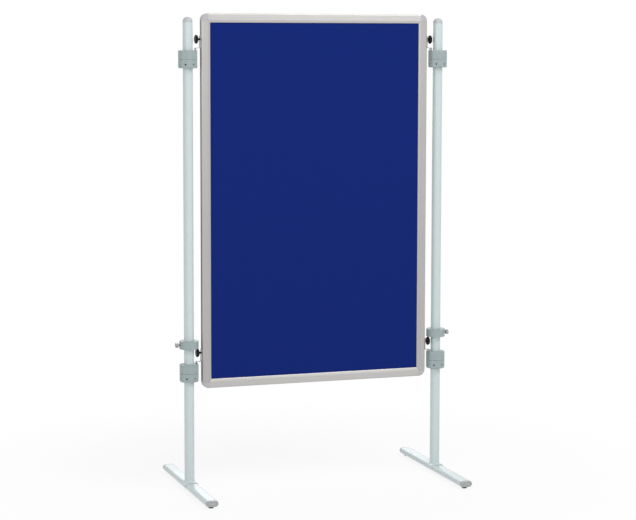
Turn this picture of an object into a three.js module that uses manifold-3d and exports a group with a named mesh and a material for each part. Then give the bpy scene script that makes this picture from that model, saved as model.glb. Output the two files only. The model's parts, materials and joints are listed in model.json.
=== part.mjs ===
// A free-standing pinboard partition. A felt-faced board in an aluminium frame hangs by four hooks
// between two round posts, and each post stands on a flat-oval cross foot.
//
// Millimetres, +Z up. The origin lies on the floor, midway between the posts, in the board's mid
// plane. The front of the board faces -Y. Each side of the partition is built in a frame of its own
// on the post's axis, where +X points towards the board, so that the right side is the left side
// turned half round.

import * as THREE from "three";
import { mergeVertices, toCreasedNormals } from "three/addons/utils/BufferGeometryUtils.js";
import Module from "manifold-3d";

const wasm = await Module();
wasm.setup();

// ---------------------------------------------------------------------------------------------
// Driving dimensions
// ---------------------------------------------------------------------------------------------

// Clearances
const FIT_GAP = 0.3; // between pieces that touch or are fixed together
const TURN_GAP = 0.35; // round a post inside a ring that turns or slides on it
const CUT_MARGIN = 2; // how far a cutting solid runs past the face that it cuts

// Board and frame
const BOARD_WIDTH = 768;
const BOARD_HEIGHT = 1200;
const BOARD_BOTTOM = 330; // floor to the underside of the frame
const FRAME_DEPTH = 24;
const CHAMBER_FACE = 21.5; // hollow outer part of the profile, seen from the front
const LIP_FACE = 8; // sloping inner lip that holds the panel
const LIP_DROP = 1.8; // how far the lip slopes back from the face
const LIP_EDGE = 1; // thickness of the lip along its free edge
const FRAME_WALL = 1.6;
const FRAME_EDGE_RADIUS = 4;
const FRAME_SLOT = 9.5; // width of the groove in the outer side
const FELT_THICKNESS = 1.4;
const CORNER_ARM_LENGTH = 32;
const CORNER_ARM_WIDTH = 15;

// Posts
const POST_DIAMETER = 32;
const POST_WALL = 1.5;
const POST_OVERRUN = 89; // top of the upper hook ring to the top of the tube
const DOME_HEIGHT = 16;
const DOME_PLUG_LENGTH = 14;

// Hook rings and the clamp rings below them
const RING_WALL = 12.35; // bore to the middle of a flat side
const RING_CORNER_RADIUS = 14;
const RING_CHAMFER = 1.2;
const RING_SIDES = 6;
const HOOK_RING_HEIGHT = 29;
const CLAMP_RING_HEIGHT = 27;
const HOOK_SLOT_THICKNESS = 3.2;
const HOOK_SLOT_WIDTH = 17.5;
const HOOK_SLOT_DEPTH = 24;
const HOOK_SLOT_OUTER_WALL = 2.4;
const GRUB_DIAMETER = 5;
const GRUB_LENGTH = 10;
const GRUB_SOCKET_DIAMETER = 2.9; // across the corners of the hexagon
const GRUB_SOCKET_DEPTH = 3;
const GRUB_HEIGHT = 11.5; // above the underside of the clamp ring

// Hook brackets, their knobs and nuts
const UPPER_KNOB_DROP = 82; // top of the frame down to the upper knobs
const LOWER_KNOB_RISE = 115; // underside of the frame up to the lower knobs
const KNOB_RISE = 35; // top of a hook ring up to its knob
const BRACKET_PLATE = 2;
const BRACKET_WIDTH = 20;
const BRACKET_TAB_HEIGHT = 7; // top of the hook ring up to the tab
const BRACKET_OVER_KNOB = 12; // plate above the knob's axis
const LEG_SIDE_GAP = 0.75; // each side of the leg in its slot
const KNOB_DIAMETER = 28;
const KNOB_LOBES = 6;
const KNOB_LOBE_HEIGHT = 1.4; // from the middle of a hollow to the mean outline
const KNOB_THICKNESS = 12;
const KNOB_CHAMFER = 2.4;
const KNOB_HUB_DIAMETER = 9;
const KNOB_HUB_LENGTH = 4.4;
const KNOB_HOLE_DEPTH = 11.4;
const KNOB_TO_POST = 7; // free space between a knob and the post
const STUD_DIAMETER = 6;
const STUD_OVERRUN = 3; // beyond the slot nut
const NUT_THICKNESS = 4;
const NUT_WIDTH = 15;
const NUT_LENGTH = 28;

// Lock rings, which slide down on the lower knobs and stop the board from lifting off
const LOCK_RING_WALL = 14.65;
const LOCK_RING_HEIGHT = 26;
const LOCK_RING_CHAMFER = 1;
const LOCK_RING_GAP = 0.8; // above the lower knob
const THUMB_SHANK_DIAMETER = 6;
const THUMB_SHANK_SHOWN = 5; // between the ring and the head
const THUMB_HEAD_DIAMETER = 15.5;
const THUMB_HEAD_THICKNESS = 8.5;
const THUMB_RIDGES = 18;
const THUMB_RIDGE_HEIGHT = 0.4;

// Feet
const FOOT_LENGTH = 550;
const FOOT_WIDTH = 40;
const FOOT_HEIGHT = 20;
const FOOT_EDGE_RADIUS = 9.5;
const FOOT_WALL = 1.5;
const SADDLE_THICKNESS = 3;
const SADDLE_LENGTH = 54;
const SADDLE_DROP = 11; // from the top of the foot down its sides
const POST_FLOOR_THICKNESS = 9; // tapped plate in the bottom of the post
const BOLT_DIAMETER = 8;
const BOLT_HEAD_DIAMETER = 13;
const BOLT_HEAD_HEIGHT = 5;
const BOLT_SOCKET_DIAMETER = 6;
const BOLT_SOCKET_DEPTH = 3;
const BOLT_END_GAP = 1.3; // below the top of the tapped plate
const BOLT_ACCESS_GAP = 1.5; // round the head in the underside of the foot
const END_CAP_LENGTH = 8;
const END_CAP_CHAMFER = 3;
const END_CAP_PLUG_LENGTH = 22;
const GLIDE_DIAMETER = 16;
const GLIDE_HEIGHT = 6;
const GLIDE_CHAMFER = 1;
const GLIDE_INSET = 18; // end of the foot to the middle of the glide
const GLIDE_STEM_DIAMETER = 5;
const GLIDE_STEM_LENGTH = 5;

// Facets
const ROUND_SIDES = 32; // posts and rings
const SMALL_SIDES = 12; // studs, screws and their holes
const GRUB_SIDES = 8;
const SOCKET_SIDES = 6;
const ARC_STEPS = 2; // pairs of facets on a rounded corner
const DOME_STEPS = 5;
const LOBE_STEPS = 6; // facets on one lobe of a knob
const RIDGE_STEPS = 2; // facets on one ridge of a thumb screw
const CREASE_ANGLE = Math.PI / 5;

// ---------------------------------------------------------------------------------------------
// Sizes and places worked out from the driving dimensions
// ---------------------------------------------------------------------------------------------

const HALF_DEPTH = FRAME_DEPTH / 2;
const FRAME_FACE = CHAMBER_FACE + LIP_FACE;
const LIP_BACK = HALF_DEPTH - LIP_DROP - LIP_EDGE; // mid plane to the inner side of a lip
const FELT_OUTER = LIP_BACK - FIT_GAP;
const CORE_HALF_DEPTH = FELT_OUTER - FELT_THICKNESS - FIT_GAP;
const PANEL_WIDTH = BOARD_WIDTH - 2 * (CHAMBER_FACE + FIT_GAP);
const PANEL_HEIGHT = BOARD_HEIGHT - 2 * (CHAMBER_FACE + FIT_GAP);
const BOARD_TOP = BOARD_BOTTOM + BOARD_HEIGHT;
const BOARD_MIDDLE = BOARD_BOTTOM + BOARD_HEIGHT / 2;

const POST_RADIUS = POST_DIAMETER / 2;
const POST_BORE_RADIUS = POST_RADIUS - POST_WALL;
const TURNING_BORE_RADIUS = POST_RADIUS + TURN_GAP;
const STUD_HOLE_RADIUS = STUD_DIAMETER / 2 + FIT_GAP;
const THUMB_HOLE_RADIUS = THUMB_SHANK_DIAMETER / 2 + FIT_GAP;
const GRUB_HOLE_RADIUS = GRUB_DIAMETER / 2 + FIT_GAP;
const KNOB_LENGTH = KNOB_THICKNESS + KNOB_HUB_LENGTH;

// Along +X from the post's axis towards the board
const KNOB_X = POST_RADIUS + KNOB_TO_POST;
const BRACKET_X = KNOB_X + KNOB_LENGTH + FIT_GAP;
const FRAME_SIDE_X = BRACKET_X + BRACKET_PLATE + FIT_GAP;
const NUT_X = FRAME_SIDE_X + FRAME_WALL + FIT_GAP;
const STUD_X = KNOB_X + KNOB_LENGTH - KNOB_HOLE_DEPTH + FIT_GAP;
const STUD_LENGTH = NUT_X + NUT_THICKNESS + STUD_OVERRUN - STUD_X;
const RING_APOTHEM = TURNING_BORE_RADIUS + RING_WALL;
const HOOK_SLOT_X = RING_APOTHEM - HOOK_SLOT_OUTER_WALL - HOOK_SLOT_THICKNESS / 2;
const LEG_WIDTH = HOOK_SLOT_WIDTH - 2 * LEG_SIDE_GAP;
const LEG_DEPTH = HOOK_SLOT_DEPTH - FIT_GAP; // the board's weight rests on the slot's floor
const LOCK_RING_RADIUS = TURNING_BORE_RADIUS + LOCK_RING_WALL;
const POST_X = BOARD_WIDTH / 2 + FRAME_SIDE_X;

// Heights
const FOOT_BOTTOM = GLIDE_HEIGHT;
const FOOT_MIDDLE = FOOT_BOTTOM + FOOT_HEIGHT / 2;
const FOOT_TOP = FOOT_BOTTOM + FOOT_HEIGHT;
const POST_FLOOR_TOP = FOOT_TOP + FIT_GAP + POST_FLOOR_THICKNESS;
const KNOB_Z = { upper: BOARD_TOP - UPPER_KNOB_DROP, lower: BOARD_BOTTOM + LOWER_KNOB_RISE };
const POST_TOP = KNOB_Z.upper - KNOB_RISE + POST_OVERRUN;
const LOCK_RING_Z = KNOB_Z.lower + KNOB_DIAMETER / 2 + LOCK_RING_GAP;

const RING_STEP = (2 * Math.PI) / RING_SIDES; // from one flat side of a ring to the next

// frontSide is the ring side, counted from the one towards the board, that carries the grub screw.
const SIDES = [
  { name: "left", x: -POST_X, turn: 0, frontSide: -2 },
  { name: "right", x: POST_X, turn: Math.PI, frontSide: 2 },
];
const LEVELS = ["upper", "lower"];
const FOOT_ENDS = [
  { name: "front", turn: 0 },
  { name: "back", turn: Math.PI },
];

// ---------------------------------------------------------------------------------------------
// Materials
// ---------------------------------------------------------------------------------------------

function finish(color, roughness, metalness) {
  return new THREE.MeshStandardMaterial({ color, roughness, metalness });
}

const lightGreyPaint = () => finish(0xd0d9d8, 0.35, 0.1);
const anodisedAluminium = () => finish(0xcac7c3, 0.45, 0.8);
const royalBlueFelt = () => finish(0x162a71, 0.95, 0);
const softBoard = () => finish(0x9c8a6e, 0.9, 0);
const greyRingPlastic = () => finish(0xa3b1b1, 0.5, 0);
const greyCapPlastic = () => finish(0xb6b8ba, 0.5, 0);
const blackKnobPlastic = () => finish(0x272324, 0.45, 0);
const blackRubber = () => finish(0x2b2b2b, 0.8, 0);
const zincSteel = () => finish(0xb4b6b8, 0.35, 0.9);
const blackSteel = () => finish(0x303234, 0.45, 0.8);

// ---------------------------------------------------------------------------------------------
// Solids and their joins and cuts
// ---------------------------------------------------------------------------------------------

/** A closed solid from a three.js geometry. */
function solidOf(geometry) {
  const bare = geometry.clone();
  bare.deleteAttribute("normal");
  bare.deleteAttribute("uv");
  const merged = mergeVertices(bare);
  const corners = merged.index.array;
  const triangles = [];
  for (let i = 0; i < corners.length; i += 3) {
    const [a, b, c] = corners.slice(i, i + 3);
    if (a !== b && b !== c && c !== a) triangles.push(a, b, c);
  }
  return new wasm.Manifold(new wasm.Mesh({
    numProp: 3,
    vertProperties: new Float32Array(merged.attributes.position.array),
    triVerts: new Uint32Array(triangles),
  }));
}

/** The solid with each of the tools joined to it. */
function joined(solid, ...tools) {
  return tools.reduce((result, tool) => result.add(tool), solid);
}

/** The solid with each of the tools cut away. */
function cut(solid, ...tools) {
  return tools.reduce((result, tool) => result.subtract(tool), solid);
}

/** A three.js geometry from a solid, smooth across shallow edges. */
function geometryOf(solid) {
  const mesh = solid.getMesh();
  const geometry = new THREE.BufferGeometry();
  geometry.setAttribute("position", new THREE.BufferAttribute(new Float32Array(mesh.vertProperties), 3));
  geometry.setIndex(new THREE.BufferAttribute(new Uint32Array(mesh.triVerts), 1));
  return toCreasedNormals(geometry, CREASE_ANGLE);
}

/** A shape pushed up from z = 0, with its top and bottom edges chamfered. */
function prism(shape, height, chamfer = 0) {
  const geometry = new THREE.ExtrudeGeometry(shape, {
    depth: height - 2 * chamfer,
    bevelEnabled: chamfer > 0,
    bevelThickness: chamfer,
    bevelSize: chamfer,
    bevelOffset: -chamfer,
    bevelSegments: 1,
    curveSegments: ARC_STEPS,
  });
  return geometry.translate(0, 0, chamfer);
}

/** An upright cylinder that stands on z = 0. */
function rod(radius, height, sides = SMALL_SIDES) {
  const geometry = new THREE.CylinderGeometry(radius, radius, height, sides);
  return geometry.rotateX(Math.PI / 2).translate(0, 0, height / 2);
}

/** A box given by its lowest corner and its size. */
function block(low, size) {
  const geometry = new THREE.BoxGeometry(size[0], size[1], size[2]);
  return geometry.translate(low[0] + size[0] / 2, low[1] + size[1] / 2, low[2] + size[2] / 2);
}

/** A profile of [radius, height] points turned about Z. It starts and ends on the axis. */
function turned(profile, sides = ROUND_SIDES) {
  const points = profile.map(([radius, height]) => new THREE.Vector2(radius, height));
  return new THREE.LatheGeometry(points, sides).rotateX(Math.PI / 2);
}

/** The geometry with its +Z axis laid along +X. */
function alongX(geometry) {
  return geometry.rotateY(Math.PI / 2);
}

/** The geometry with its +Z axis laid along -Y. */
function alongFront(geometry) {
  return geometry.rotateX(Math.PI / 2);
}

// ---------------------------------------------------------------------------------------------
// Outlines
// ---------------------------------------------------------------------------------------------

/** A closed outline through a list of [x, y] points. */
function outline(points) {
  return new THREE.Shape(points.map(([x, y]) => new THREE.Vector2(x, y)));
}

/** A rectangle with rounded corners about the origin. */
function roundedRectangle(width, height, radius) {
  const x = width / 2 - radius;
  const y = height / 2 - radius;
  const shape = new THREE.Shape();
  shape.absarc(x, y, radius, 0, Math.PI / 2, false);
  shape.absarc(-x, y, radius, Math.PI / 2, Math.PI, false);
  shape.absarc(-x, -y, radius, Math.PI, 1.5 * Math.PI, false);
  shape.absarc(x, -y, radius, 1.5 * Math.PI, 2 * Math.PI, false);
  return shape;
}

/** The flat-oval outline of a foot, larger or smaller by a margin all round. */
function footOutline(margin) {
  const radius = FOOT_EDGE_RADIUS + margin;
  return roundedRectangle(FOOT_WIDTH + 2 * margin, FOOT_HEIGHT + 2 * margin, radius);
}

/** The outline of a hook or clamp ring: six flat sides, one facing +X, with rounded corners. */
function ringOutline() {
  const cornerDistance = (RING_APOTHEM - RING_CORNER_RADIUS) / Math.cos(RING_STEP / 2);
  const shape = new THREE.Shape();
  for (let corner = 0; corner < RING_SIDES; corner += 1) {
    const middle = (corner + 0.5) * RING_STEP;
    const x = cornerDistance * Math.cos(middle);
    const y = cornerDistance * Math.sin(middle);
    shape.absarc(x, y, RING_CORNER_RADIUS, middle - RING_STEP / 2, middle + RING_STEP / 2, false);
  }
  return shape;
}

/** A round outline whose radius rises and falls in even waves. */
function wavyOutline(meanRadius, waveHeight, waves, stepsPerWave) {
  const points = [];
  for (let i = 0; i < waves * stepsPerWave; i += 1) {
    const angle = (2 * Math.PI * i) / (waves * stepsPerWave);
    const radius = meanRadius + waveHeight * Math.cos(waves * angle);
    points.push([radius * Math.cos(angle), radius * Math.sin(angle)]);
  }
  return outline(points);
}

/** Points of a quarter arc about a centre, from one angle to the next right angle. */
function quarterArc(centreX, centreY, radius, startAngle, steps) {
  const points = [];
  for (let i = 0; i <= steps; i += 1) {
    const angle = startAngle + (Math.PI / 2) * (i / steps);
    points.push([centreX + radius * Math.cos(angle), centreY + radius * Math.sin(angle)]);
  }
  return points;
}

// ---------------------------------------------------------------------------------------------
// Frame and panel
// ---------------------------------------------------------------------------------------------

/** Cross-section of the frame profile: x runs inwards from the outer side, y through the depth. */
function frameSection() {
  const slot = FRAME_SLOT / 2;
  const inner = HALF_DEPTH - FRAME_WALL;
  const edge = FRAME_EDGE_RADIUS;
  const arcSteps = 2 * ARC_STEPS;
  const halfOutside = [
    [0, slot],
    ...quarterArc(edge, HALF_DEPTH - edge, edge, Math.PI / 2, arcSteps).reverse(),
    [CHAMBER_FACE, HALF_DEPTH],
    [FRAME_FACE, HALF_DEPTH - LIP_DROP],
    [FRAME_FACE, LIP_BACK],
    [CHAMBER_FACE, LIP_BACK],
  ];
  const halfInside = [
    [CHAMBER_FACE - FRAME_WALL, inner],
    [edge, inner],
    [FRAME_WALL, HALF_DEPTH - edge],
    [FRAME_WALL, slot],
  ];
  const mirrored = (points) => points.map(([x, y]) => [x, -y]).reverse();
  return outline([...halfOutside, ...mirrored(halfOutside), ...mirrored(halfInside), ...halfInside]);
}

/** A frame bar along Z, its groove facing -X, with its lips mitred and its chamber cut square. */
function frameBar(length) {
  const half = length / 2;
  const profile = solidOf(prism(frameSection(), length).translate(0, 0, -half));
  const endZ = half - CHAMBER_FACE - FIT_GAP;
  const insideX = FRAME_FACE + CUT_MARGIN;
  const insideZ = endZ - (insideX - CHAMBER_FACE);
  const faceView = outline([
    [-CUT_MARGIN, -endZ],
    [CHAMBER_FACE, -endZ],
    [insideX, -insideZ],
    [insideX, insideZ],
    [CHAMBER_FACE, endZ],
    [-CUT_MARGIN, endZ],
  ]);
  const deep = FRAME_DEPTH + 2 * CUT_MARGIN;
  const keep = alongFront(prism(faceView, deep)).translate(0, deep / 2, 0);
  return profile.intersect(solidOf(keep));
}

/** The rounded corner between two bars, about the chamber's inner corner, with an arm in each. */
function frameCorner() {
  const edge = FRAME_EDGE_RADIUS;
  const arcSteps = 2 * ARC_STEPS;
  const profile = [
    [0, -HALF_DEPTH],
    ...quarterArc(CHAMBER_FACE - edge, edge - HALF_DEPTH, edge, -Math.PI / 2, arcSteps),
    ...quarterArc(CHAMBER_FACE - edge, HALF_DEPTH - edge, edge, 0, arcSteps),
    [0, HALF_DEPTH],
  ];
  const round = solidOf(alongFront(turned(profile)));
  const reach = CHAMBER_FACE + CUT_MARGIN;
  const deep = FRAME_DEPTH + 2 * CUT_MARGIN;
  const quarter = solidOf(block([-reach, -deep / 2, 0], [reach, deep, reach]));
  const armInner = FRAME_WALL + FIT_GAP;
  const armOuter = CHAMBER_FACE - edge;
  const armThick = armOuter - armInner;
  const armSize = [armThick, CORNER_ARM_WIDTH, CORNER_ARM_LENGTH + CUT_MARGIN];
  const armDown = solidOf(block([-armOuter, -CORNER_ARM_WIDTH / 2, -CORNER_ARM_LENGTH], armSize));
  const armAcross = solidOf(block(
    [-CUT_MARGIN, -CORNER_ARM_WIDTH / 2, armInner],
    [armSize[2], CORNER_ARM_WIDTH, armThick],
  ));
  return joined(round.intersect(quarter), armDown, armAcross);
}

/** One layer of the panel, between two distances behind the board's mid plane. */
function panelLayer(yLow, yHigh) {
  return solidOf(block(
    [-PANEL_WIDTH / 2, yLow, -PANEL_HEIGHT / 2],
    [PANEL_WIDTH, yHigh - yLow, PANEL_HEIGHT],
  ));
}

// ---------------------------------------------------------------------------------------------
// Rings on the posts
// ---------------------------------------------------------------------------------------------

/** The bore that lets a ring turn or slide on its post. */
function turningBore(height) {
  const bore = rod(TURNING_BORE_RADIUS, height + 2 * CUT_MARGIN, ROUND_SIDES);
  return solidOf(bore.translate(0, 0, -CUT_MARGIN));
}

/** The ring that carries the board: six slots in its top take the hooks of up to six boards. */
function hookRing() {
  const body = solidOf(prism(ringOutline(), HOOK_RING_HEIGHT, RING_CHAMFER));
  const slots = [];
  for (let side = 0; side < RING_SIDES; side += 1) {
    const slot = block(
      [HOOK_SLOT_X - HOOK_SLOT_THICKNESS / 2, -HOOK_SLOT_WIDTH / 2, HOOK_RING_HEIGHT - HOOK_SLOT_DEPTH],
      [HOOK_SLOT_THICKNESS, HOOK_SLOT_WIDTH, HOOK_SLOT_DEPTH + CUT_MARGIN],
    );
    slots.push(solidOf(slot.rotateZ(side * RING_STEP)));
  }
  return cut(body, turningBore(HOOK_RING_HEIGHT), ...slots);
}

/** The ring that is fixed on the post and carries the hook ring, with a tapped hole in each side. */
function clampRing() {
  const body = solidOf(prism(ringOutline(), CLAMP_RING_HEIGHT, RING_CHAMFER));
  const holes = [];
  for (let side = 0; side < RING_SIDES; side += 1) {
    const hole = alongX(rod(GRUB_HOLE_RADIUS, RING_APOTHEM + CUT_MARGIN, GRUB_SIDES));
    holes.push(solidOf(hole.translate(0, 0, GRUB_HEIGHT).rotateZ(side * RING_STEP)));
  }
  return cut(body, turningBore(CLAMP_RING_HEIGHT), ...holes);
}

/** A socket screw without a head, along +X, that presses on the post. */
function grubScrew() {
  const body = solidOf(alongX(rod(GRUB_DIAMETER / 2, GRUB_LENGTH, GRUB_SIDES)));
  const socketLength = GRUB_SOCKET_DEPTH + CUT_MARGIN;
  const socket = alongX(rod(GRUB_SOCKET_DIAMETER / 2, socketLength, SOCKET_SIDES));
  return cut(body, solidOf(socket.translate(GRUB_LENGTH - GRUB_SOCKET_DEPTH, 0, 0)));
}

/** The round ring above the lower knob, with a tapped hole on its side away from the board. */
function lockRing() {
  const outside = turned([
    [0, 0],
    [LOCK_RING_RADIUS - LOCK_RING_CHAMFER, 0],
    [LOCK_RING_RADIUS, LOCK_RING_CHAMFER],
    [LOCK_RING_RADIUS, LOCK_RING_HEIGHT - LOCK_RING_CHAMFER],
    [LOCK_RING_RADIUS - LOCK_RING_CHAMFER, LOCK_RING_HEIGHT],
    [0, LOCK_RING_HEIGHT],
  ]);
  const hole = alongX(rod(THUMB_HOLE_RADIUS, LOCK_RING_RADIUS + CUT_MARGIN)).rotateZ(Math.PI);
  return cut(
    solidOf(outside),
    turningBore(LOCK_RING_HEIGHT),
    solidOf(hole.translate(0, 0, LOCK_RING_HEIGHT / 2)),
  );
}

/** The knurled screw that fixes a lock ring, along -X with its tip at the post. */
function thumbScrew() {
  const tip = POST_RADIUS + FIT_GAP;
  const headX = LOCK_RING_RADIUS + THUMB_SHANK_SHOWN;
  const head = wavyOutline(
    THUMB_HEAD_DIAMETER / 2 - THUMB_RIDGE_HEIGHT,
    THUMB_RIDGE_HEIGHT,
    THUMB_RIDGES,
    RIDGE_STEPS,
  );
  const shank = alongX(rod(THUMB_SHANK_DIAMETER / 2, headX + CUT_MARGIN - tip)).translate(tip, 0, 0);
  const disc = alongX(prism(head, THUMB_HEAD_THICKNESS, THUMB_RIDGE_HEIGHT)).translate(headX, 0, 0);
  return joined(solidOf(shank.rotateZ(Math.PI)), solidOf(disc.rotateZ(Math.PI)));
}

// ---------------------------------------------------------------------------------------------
// Hooks, knobs and nuts between the board and a post
// ---------------------------------------------------------------------------------------------

/** The bent plate that hangs the board: z = 0 at the top of the hook ring. */
function hookBracket() {
  const legX = HOOK_SLOT_X - BRACKET_PLATE / 2;
  const plate = block(
    [BRACKET_X, -BRACKET_WIDTH / 2, BRACKET_TAB_HEIGHT],
    [BRACKET_PLATE, BRACKET_WIDTH, KNOB_RISE + BRACKET_OVER_KNOB - BRACKET_TAB_HEIGHT],
  );
  const tab = block(
    [legX, -BRACKET_WIDTH / 2, BRACKET_TAB_HEIGHT],
    [BRACKET_X + BRACKET_PLATE - legX, BRACKET_WIDTH, BRACKET_PLATE],
  );
  const leg = block(
    [legX, -LEG_WIDTH / 2, -LEG_DEPTH],
    [BRACKET_PLATE, LEG_WIDTH, LEG_DEPTH + BRACKET_TAB_HEIGHT + BRACKET_PLATE],
  );
  const hole = alongX(rod(STUD_HOLE_RADIUS, FRAME_SIDE_X)).translate(0, 0, KNOB_RISE);
  const bracket = joined(solidOf(plate), solidOf(tab), solidOf(leg));
  return cut(bracket, solidOf(hole.translate(HOOK_SLOT_X, 0, 0)));
}

/** The lobed knob along +X, from its outer end at x = 0 to its hub. */
function knob() {
  const meanRadius = KNOB_DIAMETER / 2 - KNOB_LOBE_HEIGHT;
  const lobes = wavyOutline(meanRadius, KNOB_LOBE_HEIGHT, KNOB_LOBES, LOBE_STEPS);
  const body = alongX(prism(lobes, KNOB_THICKNESS, KNOB_CHAMFER));
  const hub = alongX(rod(KNOB_HUB_DIAMETER / 2, KNOB_LENGTH - KNOB_CHAMFER)).translate(KNOB_CHAMFER, 0, 0);
  const hole = alongX(rod(STUD_HOLE_RADIUS, KNOB_HOLE_DEPTH + CUT_MARGIN));
  const holeX = KNOB_LENGTH - KNOB_HOLE_DEPTH;
  return cut(joined(solidOf(body), solidOf(hub)), solidOf(hole.translate(holeX, 0, 0)));
}

/** The knob's threaded stud along +X, which passes the bracket and the groove to the slot nut. */
function knobStud() {
  const chamfer = STUD_DIAMETER / 8;
  const radius = STUD_DIAMETER / 2;
  return solidOf(alongX(turned([
    [0, 0],
    [radius, 0],
    [radius, STUD_LENGTH - chamfer],
    [radius - chamfer, STUD_LENGTH],
    [0, STUD_LENGTH],
  ], SMALL_SIDES)));
}

/** The tapped plate in the frame's groove, its near face at x = 0. */
function slotNut() {
  const plate = block([0, -NUT_WIDTH / 2, -NUT_LENGTH / 2], [NUT_THICKNESS, NUT_WIDTH, NUT_LENGTH]);
  const hole = alongX(rod(STUD_HOLE_RADIUS, NUT_THICKNESS + 2 * CUT_MARGIN));
  return cut(solidOf(plate), solidOf(hole.translate(-CUT_MARGIN, 0, 0)));
}

// ---------------------------------------------------------------------------------------------
// Stands
// ---------------------------------------------------------------------------------------------

/** A flat-oval bar along Y of a foot's outline plus a margin. */
function footSolid(margin, length) {
  const bar = alongFront(prism(footOutline(margin), length));
  return solidOf(bar.translate(0, length / 2, FOOT_MIDDLE));
}

/** The post with the saddle that is welded to its bottom end and sits over the foot. */
function post() {
  const tube = rod(POST_RADIUS, POST_TOP - FOOT_MIDDLE, ROUND_SIDES).translate(0, 0, FOOT_MIDDLE);
  const bore = rod(POST_BORE_RADIUS, POST_TOP - POST_FLOOR_TOP + CUT_MARGIN, ROUND_SIDES);
  const thread = rod(BOLT_DIAMETER / 2 + FIT_GAP, POST_FLOOR_TOP);
  const saddleBottom = FOOT_TOP - SADDLE_DROP;
  const wide = FOOT_WIDTH + 2 * (FIT_GAP + SADDLE_THICKNESS + CUT_MARGIN);
  const long = SADDLE_LENGTH + 2 * CUT_MARGIN;
  const below = block([-wide / 2, -long / 2, 0], [wide, long, saddleBottom]);
  const saddle = footSolid(FIT_GAP + SADDLE_THICKNESS, SADDLE_LENGTH);
  return cut(
    joined(solidOf(tube), saddle),
    solidOf(below),
    footSolid(FIT_GAP, long),
    solidOf(bore.translate(0, 0, POST_FLOOR_TOP)),
    solidOf(thread.translate(0, 0, CUT_MARGIN)),
  );
}

/** The domed cap that plugs the top of a post, from z = 0 at the tube's end. */
function postCap() {
  const plugRadius = POST_BORE_RADIUS - FIT_GAP;
  const dome = quarterArc(0, 0, 1, 0, DOME_STEPS).map(([across, up]) => [
    POST_RADIUS * across,
    FIT_GAP + DOME_HEIGHT * up,
  ]);
  dome[DOME_STEPS][0] = 0;
  return solidOf(turned([
    [0, -DOME_PLUG_LENGTH],
    [plugRadius, -DOME_PLUG_LENGTH],
    [plugRadius, FIT_GAP],
    ...dome,
  ]));
}

/** The flat-oval tube of a foot, with the holes for its bolt and its glides. */
function foot() {
  const length = FOOT_LENGTH - 2 * (END_CAP_LENGTH + FIT_GAP);
  const boltHole = rod(BOLT_DIAMETER / 2 + FIT_GAP, FOOT_TOP + CUT_MARGIN - FOOT_MIDDLE);
  const accessHole = rod(BOLT_HEAD_DIAMETER / 2 + BOLT_ACCESS_GAP, FOOT_MIDDLE);
  const glideHoles = FOOT_ENDS.map((end) => {
    const hole = rod(GLIDE_STEM_DIAMETER / 2 + FIT_GAP, FOOT_MIDDLE);
    return solidOf(hole.translate(0, GLIDE_INSET - FOOT_LENGTH / 2, 0).rotateZ(end.turn));
  });
  return cut(
    footSolid(0, length),
    footSolid(-FOOT_WALL, length + 2 * CUT_MARGIN),
    solidOf(boltHole.translate(0, 0, FOOT_MIDDLE)),
    solidOf(accessHole),
    ...glideHoles,
  );
}

/** The bolt that holds a foot to its post, its head inside the foot. */
function footBolt() {
  const headTop = FOOT_TOP - FOOT_WALL - FIT_GAP;
  const headBottom = headTop - BOLT_HEAD_HEIGHT;
  const body = turned([
    [0, headBottom],
    [BOLT_HEAD_DIAMETER / 2, headBottom],
    [BOLT_HEAD_DIAMETER / 2, headTop],
    [BOLT_DIAMETER / 2, headTop],
    [BOLT_DIAMETER / 2, POST_FLOOR_TOP - BOLT_END_GAP],
    [0, POST_FLOOR_TOP - BOLT_END_GAP],
  ], SMALL_SIDES);
  const socket = rod(BOLT_SOCKET_DIAMETER / 2, BOLT_SOCKET_DEPTH + CUT_MARGIN, SOCKET_SIDES);
  return cut(solidOf(body), solidOf(socket.translate(0, 0, headBottom - CUT_MARGIN)));
}

/** The cap in the front end of a foot, along -Y from the end of the tube. */
function footEndCap() {
  const face = alongFront(prism(footOutline(0), END_CAP_LENGTH + END_CAP_CHAMFER, END_CAP_CHAMFER));
  const behind = block(
    [-FOOT_WIDTH, 0, -FOOT_HEIGHT],
    [2 * FOOT_WIDTH, END_CAP_CHAMFER + CUT_MARGIN, 2 * FOOT_HEIGHT],
  );
  const outside = cut(solidOf(face.translate(0, END_CAP_CHAMFER, 0)), solidOf(behind));
  const plugLength = END_CAP_PLUG_LENGTH + CUT_MARGIN;
  const plug = alongFront(prism(footOutline(-FOOT_WALL - FIT_GAP), plugLength));
  const hole = rod(GLIDE_STEM_DIAMETER / 2 + FIT_GAP, FOOT_HEIGHT / 2);
  const holeY = GLIDE_INSET - END_CAP_LENGTH;
  return cut(
    joined(outside, solidOf(plug.translate(0, END_CAP_PLUG_LENGTH, 0))),
    solidOf(hole.translate(0, holeY, -FOOT_HEIGHT / 2)),
  );
}

/** The round glide under one end of a foot, with its stem in the tube. */
function glide() {
  const radius = GLIDE_DIAMETER / 2;
  const top = GLIDE_HEIGHT - FIT_GAP;
  return solidOf(turned([
    [0, 0],
    [radius - GLIDE_CHAMFER, 0],
    [radius, GLIDE_CHAMFER],
    [radius, top],
    [GLIDE_STEM_DIAMETER / 2, top],
    [GLIDE_STEM_DIAMETER / 2, top + GLIDE_STEM_LENGTH],
    [0, top + GLIDE_STEM_LENGTH],
  ], SMALL_SIDES));
}

// ---------------------------------------------------------------------------------------------
// Assembly
// ---------------------------------------------------------------------------------------------

/** A named mesh of a solid, added to a group at a place of its own. */
function place(group, name, solid, material, position = [0, 0, 0], rotation = [0, 0, 0]) {
  const mesh = new THREE.Mesh(geometryOf(solid), material);
  mesh.name = name;
  mesh.position.set(...position);
  mesh.rotation.set(...rotation);
  group.add(mesh);
}

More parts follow.
